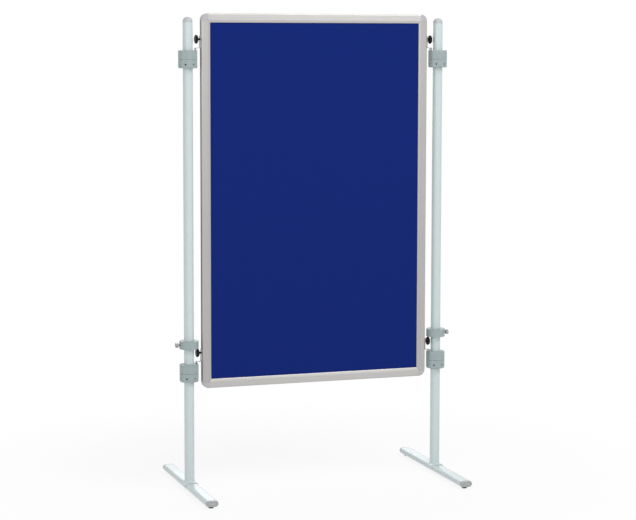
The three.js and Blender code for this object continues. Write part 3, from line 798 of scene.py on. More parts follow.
@dataclass
class Board:
    """The framed panel: four drawn bars, four corners, a core and two felts."""

    depth: float = 24 * MM
    chamber: float = 21.5 * MM  # hollow outer part of the profile, seen from the front
    lip: float = 8 * MM  # sloping inner part that holds the panel
    lip_drop: float = 1.8 * MM
    lip_back: float = 8.6 * MM  # mid plane to the inner side of a lip
    bead: float = 3.6 * MM  # rounded free edge of the lip
    wall: float = 1.6 * MM
    edge: float = 4 * MM
    groove: float = 9.5 * MM  # opening in the outer side
    groove_edge: float = 0.5 * MM
    shadow_line: float = 0.4 * MM  # fine line between the face and the lip
    bead_steps: int = 8
    fit: float = 0.3 * MM
    arm_length: float = 32 * MM
    arm_width: float = 15 * MM
    felt_cell: float = 16 * MM
    felt_wave: float = 0.08 * MM
    felt_pressed: float = 9 * MM  # width of the felt's rim under and next to the lip
    felt_slope: float = 8 * MM  # from the pressed rim to the full thickness
    felt_press: float = 1 * MM
    felt_slope_steps: int = 4
    felt_waves: float = 9.0  # per metre
    section_steps: int = 8
    crease: float = 20.0  # of the bars, in degrees
    skin_share: float = 0.7  # share of the wall beyond which a face counts as inside
    corner_steps: int = 24
    corner_edge_steps: int = 8
    arm_edge: float = 0.6 * MM

    def section(self) -> Outline:
        """The profile of a bar: x runs inwards from the outer side, y through the depth."""
        half, slot = self.depth / 2, self.groove / 2
        slope = self.lip_drop / self.lip
        line = self.shadow_line
        bead_x = self.chamber + self.lip - self.bead
        bead_y = half - slope * (self.lip - self.bead)
        outer = [
            (0, slot, self.groove_edge),
            (0, half, self.edge),
            (self.chamber - line, half, 0),
            (self.chamber, half - line, 0),
            (self.chamber + line, half - slope * line, 0),
            (bead_x, bead_y, 0),
            *self.bead_corners(bead_x, bead_y),
            (self.chamber, self.lip_back, 0),
        ]
        inner = [
            (self.chamber - self.wall, half - self.wall, 0),
            (self.wall, half - self.wall, self.edge - self.wall),
            (self.wall, slot, self.groove_edge / 2),
        ]
        other_outer = [(x, -y, radius) for x, y, radius in reversed(outer)]
        other_inner = [(x, -y, radius) for x, y, radius in reversed(inner)]
        return softened([*outer, *other_outer, *other_inner, *inner], self.section_steps)

    def bead_corners(self, start_x: float, start_y: float) -> list[tuple[float, float, float]]:
        """The round of the lip's free edge, from the end of its slope down to its back."""
        drop = start_y - self.lip_back
        turns = quarter_steps(self.bead_steps)[1:]
        return [(start_x + self.bead * math.sin(t), self.lip_back + drop * math.cos(t), 0) for t in turns]

    def bar(self, name: str, length: float) -> bpy.types.Mesh:
        """A bar along Z whose lips are mitred.

        Args:
            name: Name of the mesh.
            length: Outer length of the board along this bar.

        Returns:
            The bar's mesh, its groove facing -X.
        """
        end = length / 2 - self.chamber - self.fit
        section = self.section()
        loops = []
        for way in (-1, 1):
            loops.append([(x, y, way * (end - max(0.0, x - self.chamber))) for x, y in section])
        form = Form().loft(loops).unrolled(section, GIRTH_MAP).split_caps()
        for face in form.bm.faces:
            # faces inside the hollow take the second material, the painted shade of the groove
            face.material_index = int(self.in_chamber(face.calc_center_median()))
        return form.mesh(name, self.crease)

    def in_chamber(self, place: Vector) -> bool:
        """Whether a place on a bar's skin is on the inner side of its walls."""
        margin = self.wall * self.skin_share
        across = margin < place.x < self.chamber - margin
        return across and abs(place.y) < self.depth / 2 - margin

    def corner(self) -> bpy.types.Mesh:
        """The quarter-round corner about the chamber's inner corner, with an arm in each bar."""
        half = self.depth / 2
        loops = []
        for y, inset in rounded_levels(-half, half, self.edge, self.corner_edge_steps):
            radius = self.chamber - inset
            turns = quarter_steps(self.corner_steps)
            arc = [(-radius * math.cos(t), y, radius * math.sin(t)) for t in turns]
            loops.append([(0.0, y, 0.0), *arc])
        form = Form().loft(loops)
        near = self.chamber - self.edge
        far = self.wall + self.fit
        wide = self.arm_width / 2
        form.block((-near, -wide, -self.arm_length), (-far, wide, 0), self.arm_edge)
        form.block((0, -wide, far), (self.arm_length, wide, near), self.arm_edge)
        return form.mesh("frame_corner")

    def felt_stations(self, low: float, high: float) -> list[float]:
        """Places of the felt's rows from edge to edge, closer on the slope of its rim."""
        rim = [0.0]
        for step in range(self.felt_slope_steps + 1):
            rim.append(self.felt_pressed + self.felt_slope * step / self.felt_slope_steps)
        start, end = low + rim[-1], high - rim[-1]
        cells = round((end - start) / self.felt_cell)
        middle = [start + (end - start) * step / cells for step in range(1, cells)]
        return [low + reach for reach in rim] + middle + [high - reach for reach in reversed(rim)]

    def felt_loft(self, distance: float) -> float:
        """How far the felt has risen from its pressed rim, from 0 to 1, at a distance from its edge."""
        share = min(max((distance - self.felt_pressed) / self.felt_slope, 0.0), 1.0)
        return share * share * (3 - 2 * share)

    def felt(self, name: str) -> bpy.types.Mesh:
        """A felt as a thin closed sheet, pressed along its rim, with slight waves in its outer face.

        Args:
            name: The felt's node.

        Returns:
            The felt's mesh, in the place of its node.
        """
        low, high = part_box(name)
        out = -1 if low.y < 0 else 1
        outer, inner = (low.y, high.y) if out < 0 else (high.y, low.y)
        form = Form()
        front, back = [], []
        across, up = self.felt_stations(low.x, high.x), self.felt_stations(low.z, high.z)
        for x in across:
            for z in up:
                loft = self.felt_loft(min(x - low.x, high.x - x, z - low.z, high.z - z))
                wave = self.felt_wave * abs(noise.noise(Vector((x, outer, z)) * self.felt_waves))
                sunk = self.felt_press * (1 - loft) + wave * loft
                front.append(form.bm.verts.new((x, outer - out * sunk, z)))
                back.append(form.bm.verts.new((x, inner, z)))
        columns, rows = len(across) - 1, len(up) - 1
        stride = rows + 1
        for i in range(columns):
            for j in range(rows):
                cell = [i * stride + j, (i + 1) * stride + j, (i + 1) * stride + j + 1, i * stride + j + 1]
                form.bm.faces.new([front[k] for k in cell])
                form.bm.faces.new([back[k] for k in reversed(cell)])
        rim = [i * stride for i in range(columns)] + [columns * stride + j for j in range(rows)]
        rim += [i * stride + rows for i in range(columns, 0, -1)] + list(range(rows, 0, -1))
        for a, b in zip(rim, rim[1:] + rim[:1]):
            form.bm.faces.new((front[b], front[a], back[a], back[b]))
        return form.mesh(name)

    def build(self, shop: Workshop) -> None:
        """Builds the board and sets it in place."""
        left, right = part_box("frame_left")[0].x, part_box("frame_right")[1].x
        bottom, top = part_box("frame_bottom")[0].z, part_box("frame_top")[1].z
        middle = (bottom + top) / 2
        upright = self.bar("upright_bar", top - bottom)
        level = self.bar("level_bar", right - left)
        for bar in (upright, level):
            bar.materials.append(shop.materials[Slot.FRAME])
            # the second material is the painted shade inside the hollow
            bar.materials.append(shop.chamber)
        quarter = math.pi / 2
        shop.set_down(upright, "frame_left", Matrix.Translation((left, 0, middle)), Slot.FRAME)
        shop.set_down(upright, "frame_right", Matrix.Translation((right, 0, middle)) @ HALF_TURN, Slot.FRAME)
        for node, height, turn in (("frame_top", top, quarter), ("frame_bottom", bottom, -quarter)):
            shop.set_down(level, node, raised(height) @ Matrix.Rotation(turn, 4, "Y"), Slot.FRAME)

        corner = self.corner()
        for node, x, z, turn in (
            ("corner_top_left", left + self.chamber, top - self.chamber, 0.0),
            ("corner_top_right", right - self.chamber, top - self.chamber, quarter),
            ("corner_bottom_right", right - self.chamber, bottom + self.chamber, 2 * quarter),
            ("corner_bottom_left", left + self.chamber, bottom + self.chamber, -quarter),
        ):
            place = Matrix.Translation((x, 0, z)) @ Matrix.Rotation(turn, 4, "Y")
            shop.set_down(corner, node, place, Slot.CORNER)

        shop.paint("panel_core", Slot.CORE)
        for node in ("felt_front", "felt_back"):
            felt = shop.set_down(self.felt(node), node, Matrix.Identity(4), Slot.FELT)


# ---- Screws and knobs ----


@dataclass
class Thread:
    """A screw thread about Z, as a fine wave that climbs round a rod."""

    radius: float
    pitch: float = 1.0 * MM
    depth: float = 0.5 * MM
    sides: int = 24
    steps: int = 4  # rings on one turn of the thread

    def loops(self, low: float, high: float) -> list[list[Point]]:
        """The loops of the threaded stretch.

        Args:
            low: Height of its lower end.
            high: Height of its upper end.

        Returns:
            One loop for each ring.
        """
        count = max(2, round((high - low) / self.pitch * self.steps))
        loops = []
        for k in range(count + 1):
            height = low + (high - low) * k / count
            loop = []
            for i, angle in enumerate(around(self.sides)):
                phase = (height / self.pitch - i / self.sides) % 1.0
                loop.append(polar(self.radius - self.depth * abs(2 * phase - 1), angle, height))
            loops.append(loop)
        return loops


def socket_cutter(across: float, depth: float, top: float) -> Form:
    """A hexagon socket sunk from a height, to cut from a screw's end."""
    return Form().loft([hoop(across / math.sqrt(3), 6, z) for z in (top - depth, top + MM)])


def peg(radius: float, low: float, high: float, sides: int = HOLE_SIDES) -> Form:
    """A plain round rod about Z, to cut a hole with."""
    return Form().turn([(radius, low), (radius, high)], sides)


def bore(radius: float, edge: float, height: float) -> Outline:
    """The profile of a ring's bore from the top down to z = 0, with chamfered edges."""
    return [(radius + edge, height), (radius, height - edge), (radius, edge), (radius + edge, 0.0)]


def screw_hole(place: Matrix, radius: float, start: float, face: float, sink: float) -> Form:
    """A countersunk hole along +X of a place, to cut from a ring.

    Args:
        place: The place on the ring's axis.
        radius: Radius of the hole.
        start: Distance of its inner end from the axis.
        face: Distance of the ring's outer face.
        sink: Depth and width of the countersink.

    Returns:
        The cutter.
    """
    wide = radius + sink
    profile = [(radius, start), (radius, face - sink), (wide, face), (wide, face + MM)]
    return Form().turn(profile, HOLE_SIDES).moved(place @ ALONG_X)


@dataclass
class Fasteners:
    """The screws, studs and bolts that the stands and hooks share."""

    grub_radius: float = 2.5 * MM
    grub_length: float = 10 * MM
    grub_pitch: float = 0.8 * MM
    grub_thread: float = 0.35 * MM
    grub_tip: float = 0.6  # each tip is a share of the screw's radius
    grub_tip_length: float = 0.8 * MM
    grub_socket: float = 2.5 * MM
    grub_socket_depth: float = 3 * MM
    stud_radius: float = 3 * MM
    stud_tip: float = 0.72
    stud_tip_length: float = 0.7 * MM
    bolt_radius: float = 4 * MM
    bolt_pitch: float = 1.25 * MM
    bolt_thread: float = 0.6 * MM
    bolt_tip: float = 0.8
    bolt_edge: float = 0.5 * MM
    bolt_sides: int = 32
    bolt_head_radius: float = 6.5 * MM
    bolt_head: float = 5 * MM
    bolt_socket: float = 5 * MM
    bolt_socket_depth: float = 3 * MM

    def grub_screw(self) -> bpy.types.Mesh:
        """A socket screw without a head, along +X from the origin."""
        length = self.grub_length
        thread = Thread(self.grub_radius, self.grub_pitch, self.grub_thread)
        tip = hoop(self.grub_radius * self.grub_tip, thread.sides, 0.0)
        form = Form().loft([tip, *thread.loops(self.grub_tip_length, length)])
        socket = socket_cutter(self.grub_socket, self.grub_socket_depth, length)
        return combined("grub_screw", form.moved(ALONG_X), [socket.moved(ALONG_X)], Boolean.CUT)

    def stud(self, length: float) -> bpy.types.Mesh:
        """A threaded stud along +X from the origin, with a blunt end."""
        thread = Thread(self.stud_radius)
        loops = thread.loops(0.0, length - self.stud_tip_length)
        loops.append(hoop(self.stud_radius * self.stud_tip, thread.sides, length))
        return Form().loft(loops).moved(ALONG_X).mesh("knob_stud")

    def foot_bolt(self, low: float, high: float) -> bpy.types.Mesh:
        """A socket-head bolt that stands on its head.

        Args:
            low: Height of the head's underside.
            high: Height of the bolt's end.

        Returns:
            The bolt's mesh.
        """
        wide, edge, sides = self.bolt_head_radius, self.bolt_edge, self.bolt_sides
        top = low + self.bolt_head
        profile = [(wide - edge, low), (wide, low + edge), (wide, top - edge), (wide - edge, top)]
        loops = [hoop(radius, sides, z) for radius, z in profile]
        thread = Thread(self.bolt_radius, self.bolt_pitch, self.bolt_thread, sides)
        loops += thread.loops(top, high - edge)
        loops.append(hoop(self.bolt_radius * self.bolt_tip, sides, high))
        socket = socket_cutter(self.bolt_socket, self.bolt_socket_depth + MM, low + self.bolt_socket_depth)
        return combined("foot_bolt", Form().loft(loops), [socket], Boolean.CUT)


@dataclass
class StarKnob:
    """A black six-lobed knob, widest near its middle, that draws in to a slim hub."""

    radius: float = 14 * MM
    lobes: int = 6
    lobe_height: float = 1.4 * MM
    lobe_fade: float = 1.4  # how fast the lobes fade towards both ends
    thickness: float = 10.4 * MM
    widest: float = 0.48  # share of the thickness from the outer end to the widest place
    end_share: float = 0.62  # radius of the outer end as a share of the widest
    roundness: float = 0.55  # the lower, the fuller the knob between its middle and its ends
    hub_radius: float = 3.3 * MM
    hub_length: float = 6.0 * MM
    hub_end: Pairs = ((0.4 * MM, 0.97), (0.0, 0.9))  # distances from its end, shares of its radius
    dish_radius: float = 6 * MM
    dish: Pairs = (  # depths in the outer end, shares of the dish's radius
        (0.7 * MM, 0.55),
        (0.49 * MM, 0.85),
        (0.1 * MM, 1.0),
        (0.0, 1.06),
    )
    crease: float = 40.0
    rings: int = 18
    sides: int = 96

    def loop(self, along: float, share: float, ripple: float) -> list[Point]:
        """One ring of the knob.

        Args:
            along: Distance from the outer end.
            share: Its radius as a share of the widest.
            ripple: How much of the lobes it has.

        Returns:
            The ring's points.
        """
        points = []
        for angle in around(self.sides):
            wave = math.cos(self.lobes * angle) - 1
            points.append(polar(self.radius * share + self.lobe_height * ripple * wave, angle, along))
        return points

    def mesh(self) -> bpy.types.Mesh:
        """The knob along +X, its outer end at the origin."""
        dished = self.dish_radius / self.radius
        hub = self.hub_radius / self.radius
        loops = [self.loop(depth, dished * share, 0.0) for depth, share in self.dish]
        for k in range(self.rings + 1):
            turn = math.pi * k / self.rings
            swell = math.sin(turn) ** self.roundness
            if turn < math.pi / 2:
                along = self.widest * (1 - math.cos(turn))
                share = self.end_share + (1 - self.end_share) * swell
            else:
                along = self.widest - (1 - self.widest) * math.cos(turn)
                share = hub + (1 - hub) * swell
            loops.append(self.loop(self.thickness * along, share, swell**self.lobe_fade))
        length = self.thickness + self.hub_length
        loops += [self.loop(length - back, hub * share, 0.0) for back, share in self.hub_end]
        return Form().loft(loops).moved(ALONG_X).mesh("star_knob", self.crease)


@dataclass
class ThumbScrew:
    """A zinc-plated screw with a knurled head, along -X."""

    shank_radius: float = 3 * MM
    tip_share: float = 0.7  # radius of the tip as a share of the shank's
    tip_length: float = 0.8 * MM
    head_radius: float = 7.75 * MM
    head_thickness: float = 8.5 * MM
    head_edge: float = 0.7 * MM
    dish_share: float = 0.62  # radius of the dish in the head as a share of the head's
    dish_floor: float = 0.9  # radius of the dish's floor as a share of the dish's
    ridges: int = 30
    ridge_sides: int = 6
    ridge_height: float = 0.45 * MM
    boss_radius: float = 4.6 * MM
    boss_length: float = 1.6 * MM

    def mesh(self, tip: float, head: float) -> bpy.types.Mesh:
        """The screw's mesh.

        Args:
            tip: Distance of the tip from the post's axis.
            head: Distance of the head's inner face from it.

        Returns:
            The mesh, on the post's axis.
        """
        sides = self.ridges * self.ridge_sides
        neck = head - self.boss_length
        loops = [hoop(self.shank_radius * self.tip_share, sides, tip)]
        loops += Thread(self.shank_radius, sides=sides).loops(tip + self.tip_length, neck)
        loops += [hoop(self.boss_radius, sides, along) for along in (neck, head)]
        end = head + self.head_thickness
        wide, edge = self.head_radius, self.head_edge
        dish = wide * self.dish_share
        profile = [
            (wide - edge, head, 0.0),
            (wide, head + edge, 1.0),
            (wide, end - edge, 1.0),
            (wide - edge, end, 0.0),
            (dish, end, 0.0),
            (dish * self.dish_floor, end - edge, 0.0),
        ]
        for radius, along, share in profile:
            loop = []
            for angle in around(sides):
                cut = self.ridge_height * share * (1 - abs(math.cos(self.ridges * angle / 2)))
                loop.append(polar(radius - cut, angle, along))
            loops.append(loop)
        return Form().loft(loops).moved(HALF_TURN @ ALONG_X).mesh("thumb_screw")


# ---- Hooks and rings ----


@dataclass
class Collar:
    """The two-part collar on a post: a hook ring that turns on a clamp ring."""

    bore_radius: float = 16.35 * MM
    bore_edge: float = 0.5 * MM
    apothem: float = 28.7 * MM
    corner_radius: float = 14 * MM
    edge: float = 1.2 * MM
    hook_height: float = 29 * MM
    clamp_height: float = 27 * MM
    slot_middle: float = 24.7 * MM
    slot_thickness: float = 3.2 * MM
    slot_width: float = 17.5 * MM
    slot_depth: float = 24 * MM
    slot_corner: float = 0.6 * MM
    slot_flare: float = 0.5 * MM
    grub_height: float = 11.5 * MM
    grub_hole: float = 2.8 * MM
    countersink: float = 0.9 * MM
    taper_radius: float = 29.4 * MM  # the clamp ring's cone at its underside
    taper: float = 0.31  # how fast the cone widens upwards
    taper_soft: float = 0.35 * MM  # width of the soft line where the cone ends
    taper_rings: int = 12  # loops on the cone, 1 mm apart
    sides: int = 6
    points: int = 144

    def reach(self, angle: float) -> float:
        """Distance from the axis to the six-sided outline.

        Args:
            angle: Direction, where 0 is the middle of a flat side.

        Returns:
            The distance.
        """
        step = 2 * math.pi / self.sides
        off = abs((angle + step / 2) % step - step / 2)
        inner = self.apothem - self.corner_radius
        if self.apothem * math.tan(off) <= inner * math.tan(step / 2):
            return self.apothem / math.cos(off)
        centre = inner / math.cos(step / 2)
        turn = step / 2 - off
        return centre * math.cos(turn) + math.sqrt(self.corner_radius**2 - (centre * math.sin(turn)) ** 2)

    def ring(self, height: float, tapered: bool) -> Form:
        """A ring with rounded edges that stands on z = 0.

        Args:
            height: Its height.
            tapered: Whether its lower part narrows to a cone.

        Returns:
            The ring.
        """
        levels = rounded_levels(0.0, height, self.edge)
        if tapered:
            half = len(levels) // 2
            rise = [(self.edge + k * MM, 0.0) for k in range(1, self.taper_rings + 1)]
            levels = levels[:half] + rise + levels[half:]
        loops = []
        for z, inset in levels:
            cone = self.taper_radius + self.taper * z
            loop = []
            for angle in around(self.points):
                radius = self.reach(angle)
                if tapered:
                    radius = (radius + cone - math.sqrt((radius - cone) ** 2 + self.taper_soft**2)) / 2
                loop.append(polar(radius - inset, angle, z))
            loops.append(loop)
        hole = bore(self.bore_radius, self.bore_edge, height)
        loops += [hoop(radius, self.points, z) for radius, z in hole]
        return Form().loft(loops, Ends.JOINED)

    def slot_outline(self, inset: float) -> Outline:
        """A hook slot's outline about its own middle, smaller by an inset."""
        return rectangle(self.slot_thickness - 2 * inset, self.slot_width - 2 * inset, self.slot_corner, 3)

    def hook_ring(self) -> bpy.types.Mesh:
        """The upper ring, with a slot for a hook in each side."""
        top, flare = self.hook_height, self.slot_flare
        levels = [(top - self.slot_depth, 0.0), (top - flare, 0.0), (top, -flare), (top + MM, -flare)]
        cutters = []
        for angle in around(self.sides):
            place = Matrix.Rotation(angle, 4, "Z") @ Matrix.Translation((self.slot_middle, 0, 0))
            cutters.append(Form().push(self.slot_outline, levels).moved(place))
        return combined("hook_ring", self.ring(self.hook_height, False), cutters, Boolean.CUT)

    def clamp_ring(self) -> bpy.types.Mesh:
        """The lower ring, with a countersunk screw hole in each side."""
        cutters = []
        start = self.bore_radius - OVERLAP
        for angle in around(self.sides):
            place = Matrix.Rotation(angle, 4, "Z") @ raised(self.grub_height)
            cutters.append(screw_hole(place, self.grub_hole, start, self.apothem, self.countersink))
        return combined("clamp_ring", self.ring(self.clamp_height, True), cutters, Boolean.CUT)


@dataclass
class HookBracket:
    """The bent zinc-plated plate that hangs the board in a hook ring."""

    leg_middle: float = 24.7 * MM  # from the post's axis
    plate_middle: float = 40.7 * MM
    plate: float = 2 * MM
    width: float = 20 * MM
    leg_width: float = 16 * MM
    leg_depth: float = 23.7 * MM
    leg_end: float = 2 * MM  # height of the narrowed end of the leg
    leg_narrowed: float = 1.5 * MM
    shoulder_low: float = 1 * MM  # above the top of the ring, where the leg starts to widen
    shoulder_high: float = 3 * MM
    tab_middle: float = 8 * MM  # above the top of the ring
    bend: float = 2 * MM
    bend_steps: int = 6
    top: float = 47 * MM
    top_corner: float = 2 * MM
    edge: float = 0.35 * MM
    top_edge: float = 0.6 * MM
    hole_height: float = 35 * MM
    hole_radius: float = 3.3 * MM
    hole_reach: float = 5 * MM
    hole_sides: int = 32
    crease: float = 40.0

    def path(self) -> list[tuple[Vector, Vector, float]]:
        """The plate's middle line, as places, normals and half widths."""
        leg, wide = self.leg_width / 2, self.width / 2
        bend = self.bend
        straight = Vector((1, 0))
        stops = []
        for height, half in (
            (-self.leg_depth, leg - self.leg_narrowed),
            (-self.leg_depth + self.leg_end, leg),
            (self.shoulder_low, leg),
            (self.shoulder_high, wide),
        ):
            stops.append((Vector((self.leg_middle, height)), straight, half))
        lower = Vector((self.leg_middle + bend, self.tab_middle - bend))
        upper = Vector((self.plate_middle - bend, self.tab_middle + bend))
        for centre, start, sweep, facing in ((lower, math.pi, -1, -1), (upper, -math.pi / 2, 1, 1)):
            for k in range(self.bend_steps + 1):
                angle = start + sweep * math.pi / 2 * k / self.bend_steps
                arm = Vector((math.cos(angle), math.sin(angle)))
                stops.append((centre + arm * bend, arm * facing, wide))
        for height, half in (
            (self.top - self.top_corner, wide),
            (self.top - self.top_edge, wide - self.top_edge),
            (self.top, wide - self.top_corner),
        ):
            stops.append((Vector((self.plate_middle, height)), straight, half))
        return stops

    def mesh(self) -> bpy.types.Mesh:
        """The bracket, z = 0 at the top of the hook ring."""
        loops = []
        for middle, normal, half in self.path():
            ring = rectangle(self.plate, 2 * half, self.edge, 2)
            places = [(middle + normal * off, across) for off, across in ring]
            loops.append([(place.x, across, place.y) for place, across in places])
        hole = peg(self.hole_radius, -self.hole_reach, self.hole_reach, self.hole_sides).moved(ALONG_X)
        hole.moved(Matrix.Translation((self.plate_middle, 0, self.hole_height)))
        return combined("hook_bracket", Form().loft(loops), [hole], Boolean.CUT, self.crease)


@dataclass
class LockRing:
    """The round ring above a lower knob, and its thumb screw."""

    bore_radius: float = 16.35 * MM
    radius: float = 31 * MM
    edge: float = 1 * MM
    chamfer: float = 0.8 * MM
    hole_radius: float = 3.3 * MM
    shank_shown: float = 5 * MM
    sides: int = 96
    screw: ThumbScrew = field(default_factory=ThumbScrew)

    def ring(self, height: float) -> bpy.types.Mesh:
        """The ring's mesh, which stands on z = 0."""
        profile = [(self.radius - inset, z) for z, inset in rounded_levels(0.0, height, self.edge)]
        profile += bore(self.bore_radius, self.chamfer, height)
        body = Form().turn(profile, self.sides, Ends.JOINED)
        place, start = raised(height / 2) @ HALF_TURN, self.bore_radius - OVERLAP
        hole = screw_hole(place, self.hole_radius, start, self.radius, self.chamfer)
        return combined("lock_ring", body, [hole], Boolean.CUT)


# ---- Stands ----


@dataclass
class Foot:
    """A flat-oval foot with its end caps and glides."""

    width: float = 40 * MM
    height: float = 20 * MM
    edge: float = 9.5 * MM
    least_edge: float = 0.4 * MM
    edge_steps: int = 10
    wall: float = 1.5 * MM
    rim: float = 0.3 * MM
    fit: float = 0.3 * MM
    cap_length: float = 8 * MM
    cap_edge: float = 3 * MM
    cap_edge_steps: int = 6
    cap_rim: float = 0.15 * MM
    cap_face: Pairs = (  # depths and insets of the dished end
        (0.0, 4.2 * MM),
        (0.9 * MM, 4.6 * MM),
        (0.9 * MM, 6.0 * MM),
        (0.3 * MM, 6.4 * MM),
    )
    cap_plug: float = 22 * MM
    plug_taper: float = 1 * MM
    glide_radius: float = 8 * MM
    glide_edge: float = 1 * MM
    glide_sides: int = 40
    glide_inset: float = 18 * MM
    glide_stem: float = 2.5 * MM
    glide_stem_length: float = 5 * MM
    glide_stem_edge: float = 0.5 * MM
    glide_stem_tip: float = 0.75  # radius of the stem's end as a share of its own
    access_radius: float = 8 * MM
    access_sides: int = 32
    bolt_hole: float = 4.3 * MM
    bolt_hole_start: float = 5 * MM

    def outline(self, inset: float) -> Outline:
        """The foot's section, smaller by an inset."""
        radius = max(self.edge - inset, self.least_edge)
        return rectangle(self.width - 2 * inset, self.height - 2 * inset, radius, self.edge_steps)

    def tube(self, length: float) -> bpy.types.Mesh:
        """The foot's tube along Y about the origin, with its holes below.

        Args:
            length: Length of the tube.

        Returns:
            The tube's mesh.
        """
        half = length / 2
        rim, wall = self.rim, self.wall
        ends = ((-half, rim), (rim - half, 0.0), (half - rim, 0.0), (half, rim), (half, wall), (-half, wall))
        loops = [[(x, y, z) for x, y in self.outline(inset)] for z, inset in ends]
        form = Form().loft(loops, Ends.JOINED).moved(ALONG_FRONT)
        below = -self.height
        holes = [peg(self.access_radius, below, 0.0, self.access_sides)]
        holes.append(peg(self.bolt_hole, self.bolt_hole_start, self.height))
        reach = half + self.cap_length + self.fit - self.glide_inset
        for way in (-1, 1):
            stem = peg(self.glide_stem + self.fit, below, 0.0)
            holes.append(stem.moved(Matrix.Translation((0, way * reach, 0))))
        return combined("foot_tube", form, holes, Boolean.CUT)

    def end_cap(self) -> bpy.types.Mesh:
        """The plastic cap in the front end of a foot, along -Y from the end of the tube."""
        plug = self.wall + self.fit
        length, edge = self.cap_length, self.cap_edge
        levels = [
            (-self.cap_plug, plug + self.plug_taper),
            (self.plug_taper - self.cap_plug, plug),
            (0.0, plug),
            (0.0, self.cap_rim),
        ]
        turns = quarter_steps(self.cap_edge_steps)
        levels += [(length - edge + edge * math.sin(t), edge * (1 - math.cos(t))) for t in turns]
        levels += [(length - depth, inset) for depth, inset in self.cap_face]
        form = Form().push(self.outline, levels).moved(ALONG_FRONT)
        hole = peg(self.glide_stem + self.fit, -self.height, 0.0)
        hole.moved(Matrix.Translation((0, self.glide_inset - length, 0)))
        return combined("foot_cap", form, [hole], Boolean.CUT)

    def glide(self, height: float) -> bpy.types.Mesh:
        """The round glide, from its sole at z = 0.

        Args:
            height: Top of its stem.

        Returns:
            The glide's mesh.
        """
        disc = height - self.glide_stem_length
        profile = [(self.glide_radius - inset, z) for z, inset in rounded_levels(0.0, disc, self.glide_edge)]
        profile += [
            (self.glide_stem, disc),
            (self.glide_stem, height - self.glide_stem_edge),
            (self.glide_stem * self.glide_stem_tip, height),
        ]
        return Form().turn(profile, self.glide_sides).mesh("glide")


